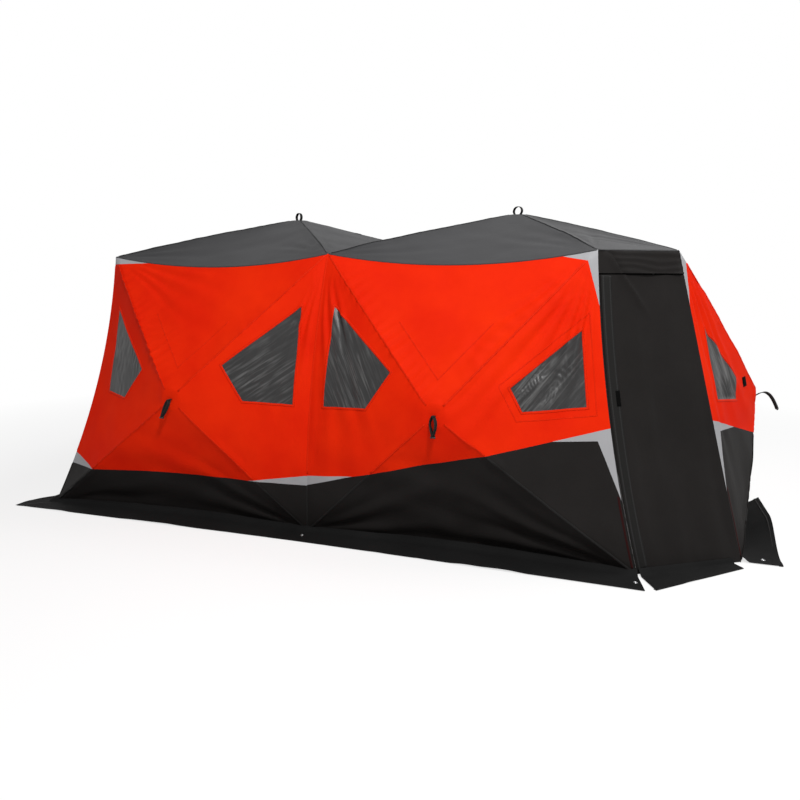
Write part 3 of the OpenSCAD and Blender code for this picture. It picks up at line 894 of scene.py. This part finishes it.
def make_floor():
    """A pale floor that looks white to the camera and keeps a soft shadow."""
    material, tree, shader, place = tree_of("pale_floor")
    plug(tree, shader, Base_Color=(0.8, 0.8, 0.8), Roughness=0.9, Specular_IOR_Level=0.0)
    glow = node(tree, "ShaderNodeEmission", Color=WHITE, Strength=1.0)
    pale = node(tree, "ShaderNodeBsdfDiffuse", Color=(0.9, 0.9, 0.9))
    away = node(tree, "ShaderNodeVectorMath", {"operation": "LENGTH"}, i0=place).outputs["Value"]
    white = remap(tree, away, 1 - FLOOR_SHADE, 1.0, FLOOR_NEAR, FLOOR_FAR)
    backdrop(tree, "Material Output", shader, mixed(tree, white, pale, glow))
    mesh = bpy.data.meshes.new("floor")
    r = FLOOR_R
    mesh.from_pydata([(-r, -r, 0), (r, -r, 0), (r, r, 0), (-r, r, 0)], [], [(0, 1, 2, 3)])
    mesh.materials.append(material)
    add_object("floor", mesh)


def soft_box(name, place, target, size, power):
    data = bpy.data.lights.new(name, "AREA")
    data.shape = "RECTANGLE"
    data.size, data.size_y = size
    data.energy = power
    lamp = add_object(name, data)
    lamp.location = place
    lamp.rotation_euler = (Vector(target) - Vector(place)).to_track_quat("-Z", "Y").to_euler()


make_camera()
make_world()
make_floor()
soft_box("key", place=(2.6, -4.9, 6.4), target=(0, 0, 0.9), size=(0.9, 0.7), power=440)
soft_box("top", place=(3.2, 1.6, 6.0), target=(0, 0, 1.2), size=(3.0, 3.0), power=190)
bpy.context.scene.view_settings.view_transform = "Standard"


# Walls: the panel, its line between red and black, the panes, the grey patches and the folds
PLAIN_EAVE_SHARE = PLAIN_PATCH_RUN / np.linalg.norm(SEAM_TOP - CORNER_TOP)
WALLS = {
    "front_left": (
        FRONT_LEFT, LEFT_LINE, panes_of(FRONT_LEFT, CORNER_WINDOW, SEAM_WINDOW),
        [*plain_corner(FRONT_LEFT, LEFT_LINE, PLAIN_EAVE_SHARE, 3, -1),
         seam_diamond(LEFT_LINE, DIAMOND_LEFT, 1)],
        wall_folds(
            FRONT_LEFT, seed=11,
            gathered=[(0, 1, 0.058, 0.021, 0.1), (1, -1, 0.08, 0.005, 0.06)],
            fanned=[(1, 2, 0.18, 0.36, 11, 0.014, 0.3), (0, CORNER_AIM, 0, 0.34, 9, 0.008, 0.24),
                    (2, 3, 0.3, 0.45, 7, 0.014, 0.4), (3, 2, 0, 0.4, 5, 0.008, 0.5)],
        ),
    ),
    "front_right": (
        FRONT_RIGHT, RIGHT_LINE, panes_of(FRONT_RIGHT, SEAM_WINDOW, DOOR_WINDOW),
        [*door_corner(FRONT_RIGHT, RIGHT_LINE, latch_at, 1), seam_diamond(RIGHT_LINE, DIAMOND_RIGHT, -1)],
        wall_folds(
            FRONT_RIGHT, seed=21,
            gathered=[(0, 1, 0.065, 0.017, 0.1), (1, -1, 0.085, 0.008, 0.09)],
            fanned=[(0, 3, 0.25, 0.42, 12, 0.014, 0.32), (1, 2, 0.68, 0.72, 19, 0.015, 0.34),
                    (3, 2, 0.3, 0.5, 7, 0.014, 0.4), (2, 3, 0.25, 0.45, 8, 0.015, 0.42)],
        ),
    ),
    "right_end": (
        RIGHT_END, END_LINE, panes_of(RIGHT_END, DOOR_WINDOW, CORNER_WINDOW),
        [*door_corner(RIGHT_END, END_LINE, hinge_at, -1),
         *plain_corner(RIGHT_END, END_LINE, 1 - PLAIN_EAVE_SHARE, 1, 1)],
        wall_folds(
            RIGHT_END, seed=31,
            gathered=[(0, 1, 0.065, 0.002, 0.09), (1, -1, 0.058, 0.006, 0.1)],
            fanned=[(0, 3, 0.4, 0.5, 12, 0.009, 0.32), (1, 2, 0.4, 0.4, 7, 0.006, 0.28),
                    (3, 2, 0.3, 0.45, 7, 0.013, 0.4), (2, 3, 0, 0.4, 5, 0.009, 0.45)],
        ),
    ),
}
# The pieces of a wall: name, kind of zone, material, slot, and the nodes that it replaces
WALL_PARTS = [
    ("red_fabric", "", RED, "red_fabric", ["wall"]),
    ("black_fabric", "black", BLACK, "black_fabric", ["band"]),
    ("grey_patches", "grey", GREY, "red_fabric", []),
]
# The cut is larger than the piece's elevation, for slope and folds
CUT_ROOM = 1.06
BINDING_W = 0.016
BINDING_H = 0.002
BINDING_STEP = 0.012
BINDING_SINK = 0.004
# The pane beside the door has a second sewn line round it
SEWN_ROUND = {"front_right": [1]}
SEWN_OFF = 0.05
SEWN_W = 0.008
SEWN_H = 0.0016
PUCKER = 0.0012
PUCKER_PERIOD = 0.031
PUCKER_SEED = 70
# Creases of the clear film: their direction in degrees and their period, for each pane
CRINKLES = {
    "front_left": [(80, 0.03), (35, 0.06)],
    "front_right": [(118, 0.03), (52, 0.026)],
    "right_end": [(105, 0.03), (70, 0.035)],
}
CRINKLE_H = 0.004
CRINKLE_FADE = 0.03
CRINKLE_SEED = 80
PANE_T = 0.001
PANE_EDGE_STEP = 0.01


def flat_size(mesh, panel):
    """Width and length of the cut that a piece was made from."""
    at = panel.flat(np.array([v.co for v in mesh.vertices]))
    return tuple(float(x) * CUT_ROOM for x in at.max(axis=0) - at.min(axis=0))


def square_of(mesh):
    """The square of a piece's area."""
    return (math.sqrt(area_of(mesh)), math.sqrt(area_of(mesh)))


def along_polygon(polygon, step):
    """Places along a closed outline, evenly spaced on each side."""
    found = []
    for a, b in zip(polygon, np.roll(polygon, -1, axis=0)):
        count = max(2, round(np.linalg.norm(b - a) / step))
        found += [lerp(a, b, i / count) for i in range(count)]
    return np.array(found)


def grown(polygon, by):
    """The outline moved outward by a distance, corner by corner."""
    d1, d2 = unit(polygon - np.roll(polygon, 1, axis=0)), unit(np.roll(polygon, -1, axis=0) - polygon)
    n1, n2 = (np.stack([d[:, 1], -d[:, 0]], axis=1) for d in (d1, d2))
    step = (n1 + n2) / (1 + (n1 * n2).sum(axis=1, keepdims=True))
    side = np.sign(((polygon - polygon.mean(axis=0)) * step).sum())
    return polygon + side * step * by


def bind_windows(name, cloth, panes):
    shape = Shape()
    for i, polygon in enumerate(panes):
        path, normals = cloth.lay(along_polygon(grown(polygon, BINDING_W * 0.4), BINDING_STEP))
        run = np.arange(len(path)) * BINDING_STEP
        wave = np.sin(2 * np.pi * run / PUCKER_PERIOD)
        lift = PUCKER * (wave * noise(run * 4, run * 0, PUCKER_SEED + i) + 0.5)
        path = path + normals * lift[:, None]
        ribbon(shape, path, normals, BINDING_W, BINDING_H, closed=True, sink=BINDING_SINK)
    for i in SEWN_ROUND.get(name, ()):
        path, normals = cloth.lay(along_polygon(grown(panes[i], SEWN_OFF), BINDING_STEP))
        ribbon(shape, path, normals, SEWN_W, SEWN_H, closed=True, sink=BINDING_SINK)
    piece(f"{name}_window_binding", shape.mesh(), [RED_TAPE])


def crinkle(run, off, period, seed):
    """Sharp creases by the distances along and across them, bent and broken up."""
    off = off + 0.05 * noise(run * 4, off * 4, seed) + 0.02 * noise(run * 11, off * 11, seed + 1)
    ridge = 1 - 2 * np.abs(np.sin(np.pi * off / period))
    strong = smooth(-0.5, 0.7, noise(run * 3.2, off * 8, seed + 2))
    return ridge * strong + noise(run * 22, off * 40, seed + 3) * 0.35


def make_panes(name, cloth, panes):
    """The two clear panes of a wall, as one piece with creases in the film."""
    shape = Shape()
    for i, polygon in enumerate(panes):
        film = bmesh.new()
        film.from_mesh(cloth.part(f"pane{i}"))
        bmesh.ops.subdivide_edges(film, edges=film.edges[:], cuts=1, use_grid_fill=True)
        bmesh.ops.triangulate(film, faces=[f for f in film.faces if len(f.verts) > 4])
        points, normals, faces = arrays_of(film)
        at = cloth.panel.flat(points)
        angle, period = CRINKLES[name][i]
        a = math.radians(angle)
        run, off = at @ vec(math.cos(a), math.sin(a)), at @ vec(-math.sin(a), math.cos(a))
        near = distance_to(at, along_polygon(polygon, PANE_EDGE_STEP))
        height = CRINKLE_H * crinkle(run, off, period, CRINKLE_SEED + i) * smooth(0.0, CRINKLE_FADE, near)
        shape.add(points + normals * height[:, None], faces, np.stack([run, off], axis=1))
    mesh = shape.mesh()
    piece(f"{name}_panes", mesh, [VINYL], [f"{name}_windows"], PANE_T,
          (square_of(mesh), "stretched"))


def make_wall(name, panel, line, panes, patches, folds):
    zones = [(f"pane{i}", polygon) for i, polygon in enumerate(panes)]
    zones += [("grey", polygon) for polygon in patches] + [("black", below(line))]
    cloth = Cloth(panel, zones, folds)
    for part, kind, material, slot, nodes in WALL_PARTS:
        mesh = cloth.part(kind)
        size = flat_size(mesh, panel) if nodes else square_of(mesh)
        piece(f"{name}_{part}", mesh, [material, LINING], [f"{name}_{n}" for n in nodes], FABRIC_T,
              (size, "stretched"))
    make_panes(name, cloth, panes)
    bind_windows(name, cloth, panes)
    return cloth


CLOTHS = {name: make_wall(name, *parts) for name, parts in WALLS.items()}
ROOF_CLOTH = Cloth(RIGHT_ROOF, [], roof_folds)
ROOF_MESH = ROOF_CLOTH.part("")
piece("right_roof_fabric", ROOF_MESH, [ROOF, LINING], ["right_roof"], FABRIC_T,
      (flat_size(ROOF_MESH, RIGHT_ROOF), "stretched"))

# Seams: raised welts along the ridges and edges, and sewn lines beside the upper ridges
WELT_W = 0.012
WELT_H = 0.0018
WELT_STEP = 0.02
HUB_ROOM = 0.075
RIDGE_END = 0.985
EDGE_ENDS = (0.004, 0.996)
EAVE_TAPE_W = 0.01
SLEEVE_OFF = 0.13
SLEEVE_LEN = 0.42
SLEEVE_W = 0.007
SLEEVE_H = 0.0014
# The edges that have a welt, with the directions that they face
WALL_EDGES = {"front_left": [(1, FRONT_OUT), (3, vec(-1, -1, 0))]}
ROOF_EDGES = [(1, vec(0, 1, 1)), (2, vec(1, 0, 1)), (3, DOOR_OUT + UP), (4, vec(0, -1, 1))]


def runs_of(mask):
    """First and last place of each run of true values."""
    edges = np.flatnonzero(np.diff(np.concatenate([[0], mask.astype(int), [0]])))
    return list(zip(edges[::2], edges[1::2]))


def welt(shapes, cloth, path, normals, width=WELT_W, height=WELT_H):
    """Adds a welt along a path to the shape of each kind of zone that it crosses."""
    kinds = kinds_at(cloth.zones, cloth.panel.flat(path))
    for kind, shape in shapes.items():
        for first, last in runs_of(kinds == kind):
            if last - first > 1:
                ribbon(shape, path[first:last], normals[first:last], width, height)


def ridge_path(cloth, corner):
    """The pole's line over the cloth, from beside the hub to a corner."""
    hub, end = cloth.panel.flat(cloth.panel.hub), cloth.panel.flat(corner)
    length = np.linalg.norm(end - hub)
    return cloth.lay(lerp(hub, end, column(HUB_ROOM / length, RIDGE_END, round(length / WELT_STEP))))


def edge_path(panel, k, normal):
    count = round(np.linalg.norm(panel.corners[(k + 1) % len(panel.corners)] - panel.corners[k]) / WELT_STEP)
    return panel.rim(k, column(*EDGE_ENDS, count)), spread(unit(normal), count)


def sleeve_line(cloth, first, second):
    """The sewn line that follows two ridges at a distance and meets above the hub."""
    panel = cloth.panel
    hub = panel.flat(panel.hub)
    left, right = unit(panel.flat(first) - hub), unit(panel.flat(second) - hub)
    middle = unit(left + right)
    point = hub + middle * SLEEVE_OFF / np.linalg.norm(left - (left @ middle) * middle)
    steps = column(0, SLEEVE_LEN, round(SLEEVE_LEN / WELT_STEP))
    return cloth.lay(np.concatenate([point + left * steps[::-1], point + right * steps[1:]]))


for name, cloth in CLOTHS.items():
    seams = {"": Shape(), "black": Shape()}
    welt(seams, cloth, *sleeve_line(cloth, *cloth.panel.corners[:2]), SLEEVE_W, SLEEVE_H)
    for corner in cloth.panel.corners:
        welt(seams, cloth, *ridge_path(cloth, corner))
    for k, normal in WALL_EDGES.get(name, ()):
        welt(seams, cloth, *edge_path(cloth.panel, k, normal))
    piece(f"{name}_red_seams", seams[""].mesh(), [RED_TAPE])
    piece(f"{name}_black_seams", seams["black"].mesh(), [BLACK_TAPE])

roof_seams = Shape()
for corner in RIGHT_ROOF.corners:
    ribbon(roof_seams, *ridge_path(ROOF_CLOTH, corner), WELT_W, WELT_H)
for k, normal in ROOF_EDGES:
    ribbon(roof_seams, *edge_path(RIGHT_ROOF, k, normal), EAVE_TAPE_W, WELT_H)
piece("right_roof_seams", roof_seams.mesh(), [ROOF_TAPE])


# Door, header, rain flap and the strips up the door
DOOR_TOP = EAVE_Z - HEADER_H - DOOR_GAP
DOOR_FLAT = (0.72, 1.7)
DOOR_COLUMNS = 46
DOOR_ROWS = 100
DOOR_FOLD = 0.009
DOOR_SETTLE = 0.06
DOOR_SEED = 90
HEADER_FLAT = (0.56, 0.14)
HEADER_ROWS = 14
HEADER_TUCK = 0.001
FLAP_FLAT = (0.5, 0.14)
FLAP_ROWS = 18
FLAP_COLUMNS = 60
FLAP_TUCK = 0.004
FLAP_OFF = 0.003
FLAP_PUSH = 0.01
FLAP_SETTLE = 0.1
FLAP_WAVE = 0.0016
FLAP_START_TOP = 0.06
FLAP_START_FOOT = 0.155
CREASE_HIGH = vec(0.06, 1.74)
CREASE_LOW = vec(0.24, 1.5)
CREASE_START = (-0.05, 0.02)
CREASE_END = (0.2, 0.5)
CREASE_W = 0.015
CREASE_H = 0.018
STORM_Z = (0.03, DOOR_TOP - 0.004)
STORM_W = 0.07
STORM_T = 0.0035
STORM_INSET = 0.004
TAB_Z = (0.9075, 0.9925)
TAB_W = 0.03
TAB_T = 0.003
ZIP_Z = (0.02, DOOR_TOP)
ZIP_W = 0.006
ZIP_T = 0.0015
# Dark red strips at the foot of the door's two edges
STRIP_Z = (0.03, 0.42)
STRIP_W = 0.012
STRIP_T = 0.002
STRIP_INSET = 0.014
STRIP_STEPS = 30
STRIP_SINK = 0.003


def door_point(off, z, push):
    """Points of the door's plane, a distance off the latch edge, for a column of heights."""
    return latch_at(z) - DOOR_ACROSS * off + DOOR_OUT * push


def door_folds(off, z):
    """Soft upright folds, and the crease that runs down from the latch corner."""
    d = unit(CREASE_LOW - CREASE_HIGH)
    rel = np.stack([off - CREASE_HIGH[0], z - CREASE_HIGH[1]], axis=-1)
    t, n = rel @ d, rel @ vec(-d[1], d[0])
    crease = CREASE_H * np.exp(-((n / CREASE_W) ** 2)) * between(CREASE_START, CREASE_END, t)
    bent = off * 9 + 0.3 * noise(off * 2, z * 3, DOOR_SEED + 1)
    upright = noise(bent, z * 1.1, DOOR_SEED) + 0.4 * noise(off * 19, z * 2.3, DOOR_SEED + 2)
    return crease + DOOR_FOLD * upright * (0.5 + 0.5 * smooth(0.0, 0.25, z))


def door_bump(off, z, share):
    return door_folds(off, z) * settle(share, DOOR_SETTLE)


def header_bump(off, z, share):
    return 0.5 * door_bump(off, z, share)


def flap_bump(off, z, share):
    swell = FLAP_PUSH * np.sqrt((EAVE_Z - z) / HEADER_H) * settle(share, FLAP_SETTLE)
    return FLAP_OFF + swell + FLAP_WAVE * np.sin(z * 170 + 3 * noise(off * 5, z * 9, DOOR_SEED + 5))


def flap_start(z):
    return lerp(FLAP_START_FOOT, FLAP_START_TOP, (z - DOOR_TOP) / (EAVE_Z - DOOR_TOP))


def door_sheet(name, low, high, rows, columns, first, bumps, flat, replaces=(), body="shelter"):
    """A sheet in the door's plane, from a distance off the latch edge for each height to the hinge."""
    z = column(low, high, rows)
    share = np.linspace(0, 1, columns)[None]
    last = np.linalg.norm(hinge_at(z) - latch_at(z), axis=-1, keepdims=True) - HINGE_GAP
    off = lerp(first(z), last, share)
    push = bumps(off, z + 0 * off, share + 0 * off)
    shape = Shape()
    lattice(shape, latch_at(z)[:, None] - DOOR_ACROSS * off[..., None] + DOOR_OUT * push[..., None])
    piece(name, shape.mesh(), [BLACK, LINING], replaces, FABRIC_T, (flat, "hung"), body)


def door_strip(name, z_range, count, off, push, width, height, sink, material, body="shelter"):
    """A strip up the door's plane."""
    shape = Shape()
    path = door_point(off, column(*z_range, count), push)
    ribbon(shape, path, spread(DOOR_OUT, count), width, height, sink=sink)
    piece(name, shape.mesh(), [material], body=body)


door_sheet("front_door_fabric", DOOR_FOOT, DOOR_TOP, DOOR_ROWS, DOOR_COLUMNS, lambda z: DOOR_GAP,
           door_bump, DOOR_FLAT, ["front_door"], "front_door")
door_sheet("front_door_header_fabric", DOOR_TOP + DOOR_GAP, EAVE_Z - HEADER_TUCK, HEADER_ROWS, DOOR_COLUMNS,
           lambda z: 0.0, header_bump, HEADER_FLAT, ["front_door_header"])
door_sheet("front_door_rain_flap", DOOR_TOP + DOOR_GAP, EAVE_Z - FLAP_TUCK, FLAP_ROWS, FLAP_COLUMNS,
           flap_start, flap_bump, FLAP_FLAT)
door_strip("front_door_storm_strip", STORM_Z, count=110, off=DOOR_GAP + STORM_INSET + STORM_W / 2, push=0.003,
           width=STORM_W, height=STORM_T, sink=0.005, material=BLACK_TAPE,
           body="front_door")
door_strip("front_door_tab", TAB_Z, count=12, off=DOOR_GAP + 0.85 * STORM_W, push=0.0065,
           width=TAB_W, height=TAB_T, sink=0.006, material=HOOK_TAPE, body="front_door")
door_strip("front_door_zip_tape", ZIP_Z, count=160, off=DOOR_GAP / 2, push=-0.002,
           width=ZIP_W, height=ZIP_T, sink=SINK, material=BLACK_TAPE)

strips = Shape()
for cloth, edge_at, inward in ((CLOTHS["front_right"], latch_at, -1), (CLOTHS["right_end"], hinge_at, 1)):
    places = cloth.panel.flat(edge_at(column(*STRIP_Z, STRIP_STEPS))) + vec(inward * STRIP_INSET, 0)
    ribbon(strips, *cloth.lay(places), STRIP_W, STRIP_T, sink=STRIP_SINK)
piece("front_door_side_strips", strips.mesh(), [DARK_RED_TAPE])


# Ground skirts
FRONT_SKIRT_FLAT = (4.3, 0.3)
END_SKIRT_FLAT = (2.3, 0.3)
DOOR_SKIRT_FLAT = (0.75, 0.26)
SKIRT_STEPS = 150
SKIRT_ROWS = 16
SKIRT_RISE = 0.03
SKIRT_WAVE = 0.008
SKIRT_Z = 0.0045
SKIRT_SETTLE = 0.02
HEM_W = 0.02
HEM_T = 0.0014
HEM_SINK = 0.0025
CORNER_OUT = vec(-0.91 * SKIRT_W, -0.875 * SKIRT_W, 0)
SKIRT_POINT = vec(0.04, -0.008, 0)
# The end skirt narrows near its far corner, and its edge kicks up near the door
NARROW = 0.1
NARROW_FROM = (0.08, 0.3)
NARROW_TO = (0.5, 0.95)
LIFT_H = 0.15
LIFT_FROM = (-0.72, -0.3)
LIFT_TO = (0.1, 0.24)


def no_lift(y):
    return 0 * y


def end_lift(y):
    return LIFT_H * between(LIFT_FROM, LIFT_TO, y)


def make_skirt(name, inner, outer, seed, flat, body="shelter", lift=no_lift):
    """A skirt from the wall's foot out over the ground, in soft waves, with a hem along its outer edge."""
    w = np.linspace(0, 1, SKIRT_ROWS)[None]
    rows = lerp(inner[:, None], outer[:, None], w[..., None])
    run = run_along(outer)[:, None]
    wave = np.maximum(0, noise(run * 3.2, w * 1.6 + seed, seed) + 0.5 * noise(run * 8, w * 3, seed + 1))
    wave = SKIRT_WAVE * wave * smooth(0.12, 0.6, w) * settle(column(0, 1, len(inner)), SKIRT_SETTLE)
    rows[..., 2] = SKIRT_Z + SKIRT_RISE * (1 - smooth(0, 0.22, w)) + wave
    rows[..., 2] += lift(rows[..., 1]) * w**1.4
    shape, hem = Shape(), Shape()
    lattice(shape, rows[:, ::-1])
    piece(f"{name}_fabric", shape.mesh(), [BLACK, LINING], [name], FABRIC_T, (flat, "laid"),
          body)
    edge = lerp(rows[:, -1], rows[:, -2], 0.9)
    ribbon(hem, edge, spread(UP, len(edge)), HEM_W, HEM_T, sink=HEM_SINK)
    piece(f"{name}_hem", hem.mesh(), [BLACK_TAPE], body=body)


steps = column(0, 1, SKIRT_STEPS)
half = np.minimum(steps * 2, 1)
rest = np.maximum(steps * 2 - 1, 0)
seam_edge = SEAM_BASE + FRONT_OUT * SKIRT_W
front_inner = np.where(steps < 0.5, FRONT_LEFT.rim(2, 1 - half), FRONT_RIGHT.rim(2, 1 - rest))
front_outer = np.where(
    steps < 0.5,
    lerp(CORNER_BASE + CORNER_OUT, seam_edge, half),
    lerp(seam_edge, LATCH_BASE + FRONT_OUT * SKIRT_W + SKIRT_POINT, rest),
)
make_skirt("front_skirt", front_inner, front_outer, seed=101, flat=FRONT_SKIRT_FLAT)

end_outer = lerp(HINGE_BASE + END_OUT * SKIRT_W, FAR_BASE - CORNER_OUT, steps)
from_corner = end_outer[-1, 1] - end_outer[:, 1]
end_outer[:, 0] -= NARROW * between(NARROW_FROM, NARROW_TO, from_corner)
end_inner = RIGHT_END.rim(2, 1 - steps)
make_skirt("right_end_skirt", end_inner, end_outer, seed=111, flat=END_SKIRT_FLAT, lift=end_lift)

near_hinge = HINGE_BASE + DOOR_ACROSS * DOOR_SKIRT_START
near_latch = LATCH_BASE - DOOR_ACROSS * DOOR_GAP
flare_at = LATCH_BASE + DOOR_ACROSS * (DOOR_SKIRT_FLARE - DOOR_GAP) + DOOR_OUT * SKIRT_W
door_outer = lerp(flare_at, near_hinge + DOOR_OUT * DOOR_SKIRT_W, steps)
door_inner = lerp(near_latch, near_hinge, steps)
make_skirt("front_door_skirt", door_inner, door_outer, seed=121, flat=DOOR_SKIRT_FLAT, body="front_door")


# Pull straps, toggles and small fittings
STRAP_W = 0.022
STRAP_T = 0.0024
STRAP_DROP = 0.118
STRAP_SWELL = 0.024
STRAP_TURN = 0.8
STRAP_OFF = 0.024
STRAP_STEPS = 22
STRAP_ROOT_STEPS = 8
STRAP_LEAN = {"front_left": -0.5}
END_STRAP_OUT = 0.14
END_STRAP_RISE = 0.035
END_STRAP_DROP = 0.08
END_STRAP_TWIST = math.radians(62)
END_STRAP_STEPS = 30
TOGGLE_R = 0.007
TOGGLE_LEN = 0.03
# A toggle's outline: shares of its radius, and of its half length from the middle
TOGGLE = [(0.72, 0.2), (1.0, 0.6), (0.9, 0.9), (0.5, 1.0)]
ROOF_LOOP_H = 0.06
ROOF_LOOP_W = 0.04
ROOF_LOOP_STEPS = 36
ROOF_LOOP_ALONG = unit(END_OUT + 0.8 * FRONT_OUT)
END_TAB_Y = -0.1
END_TAB_Z = (0.93, 0.99)
END_TAB_W = 0.075
END_TAB_STEPS = 8
END_TAB_SINK = 0.005
GROMMET_R = 0.013
GROMMET_HOLE = 0.006
# A grommet's outline: radius and height
GROMMET = [
    (GROMMET_HOLE, 0.0), (GROMMET_HOLE * 1.05, 0.002), (GROMMET_R * 0.7, 0.0034), (GROMMET_R * 0.92, 0.0022),
    (GROMMET_R, 0.0),
]
GROMMET_PLACES = [(-2.36, -1.317), (-0.271, -1.256), (1.705, -1.32), (2.397, -0.728)]
GROMMET_Z = 0.0055


def lathe(shape, centre, axis, profile, steps=24, capped=True):
    """Adds a turned shape: profile points are (radius, place along the axis)."""
    axis = unit(axis)
    side = unit(np.cross(axis, UP if abs(axis[2]) < 0.9 else END_OUT))
    other = np.cross(axis, side)
    points = []
    for r, h in profile:
        for i in range(steps):
            a = 2 * math.pi * i / steps
            points.append(centre + axis * h + (side * math.cos(a) + other * math.sin(a)) * r)
    faces = quads(len(profile), steps, around=True)
    if capped:
        faces.append(tuple(reversed(range(steps))))
        faces.append(tuple((len(profile) - 1) * steps + i for i in range(steps)))
    shape.add(points, faces)


def loop(shape, top, along, down, outline):
    """Adds a closed webbing loop whose outline is given across and down from its top."""
    path = np.array([top + along * x + down * y for x, y in outline])
    ribbon(shape, path, path - path.mean(axis=0), STRAP_W, STRAP_T, closed=True, sink=0.0)


def finish_strap(name, shape, tip, across):
    """The strap's piece, and the toggle at its tip."""
    piece(f"{name}_pull_strap", shape.mesh(), [WEBBING], ["wall_pull_straps"])
    upper = [(TOGGLE_R * r, TOGGLE_LEN / 2 * h) for r, h in TOGGLE]
    bead = Shape()
    lathe(bead, tip, across, [(r, -h) for r, h in reversed(upper)] + upper)
    piece(f"{name}_strap_toggle", bead.mesh(), [PLASTIC])


def wall_strap(name, panel):
    """A hanging loop with a toggle, turned so that the webbing's face shows."""
    shape = Shape()
    top = panel.hub + panel.out * STRAP_OFF
    down = STRAP_LEAN.get(name, 0.0) * panel.across - UP
    shares = np.linspace(0.02, 0.98, STRAP_STEPS)
    right = [(STRAP_SWELL * math.sin(math.pi * s**0.7), STRAP_DROP * s) for s in shares]
    outline = right + [(-x, y) for x, y in reversed(right)]
    loop(shape, top, unit(panel.across + panel.out * STRAP_TURN), down, outline)
    root = lerp(panel.hub - panel.out * SINK, top + panel.out * STRAP_W / 2, column(0, 1, STRAP_ROOT_STEPS))
    ribbon(shape, root, spread(UP, len(root)), STRAP_W, STRAP_T)
    finish_strap(name, shape, top + down * (STRAP_DROP + TOGGLE_R * 0.4), panel.across)


def end_strap(name, panel):
    """A strap that stands out from the end wall, twists and drops at its tip."""
    shape = Shape()
    share = column(0, 1, END_STRAP_STEPS)
    rise = END_STRAP_RISE * np.sin(math.pi * share) - END_STRAP_DROP * share**3
    path = panel.hub + panel.out * END_STRAP_OUT * share + UP * rise
    flat = unit(np.cross(np.gradient(path, axis=0), -panel.across))
    twist = END_STRAP_TWIST * smooth(0.15, 0.7, share)
    ribbon(shape, path, flat * np.cos(twist) - panel.across * np.sin(twist), STRAP_W, 2 * STRAP_T, sink=0.0)
    finish_strap(name, shape, path[-1], panel.across)


wall_strap("front_left", FRONT_LEFT)
wall_strap("front_right", FRONT_RIGHT)
end_strap("right_end", RIGHT_END)

tab = Shape()
places = np.array([(END_TAB_Y, z) for z in np.linspace(*END_TAB_Z, END_TAB_STEPS)])
ribbon(tab, *CLOTHS["right_end"].lay(places), END_TAB_W, TAB_T, sink=END_TAB_SINK)
piece("right_end_tab", tab.mesh(), [HOOK_TAPE])

roof_loop = Shape()
turns = 2 * math.pi * np.linspace(0, 1, ROOF_LOOP_STEPS, endpoint=False)
arch = [(ROOF_LOOP_W * math.sin(a), -ROOF_LOOP_H * (0.5 - 0.5 * math.cos(a))) for a in turns]
loop(roof_loop, PEAK, ROOF_LOOP_ALONG, -UP, arch)
piece("right_roof_pull_strap", roof_loop.mesh(), [WEBBING], ["roof_pull_straps"])

grommets = Shape()
for x, y in GROMMET_PLACES:
    lathe(grommets, vec(x, y, GROMMET_Z), UP, GROMMET, capped=False)
piece("front_skirt_grommets", grommets.mesh(), [METAL])


# The frame's own nodes keep their shape and get their finish here
for label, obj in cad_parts.items():
    finish = POLE if label.endswith("_poles") else PLASTIC
    for place in obj.material_slots:
        place.material = finish
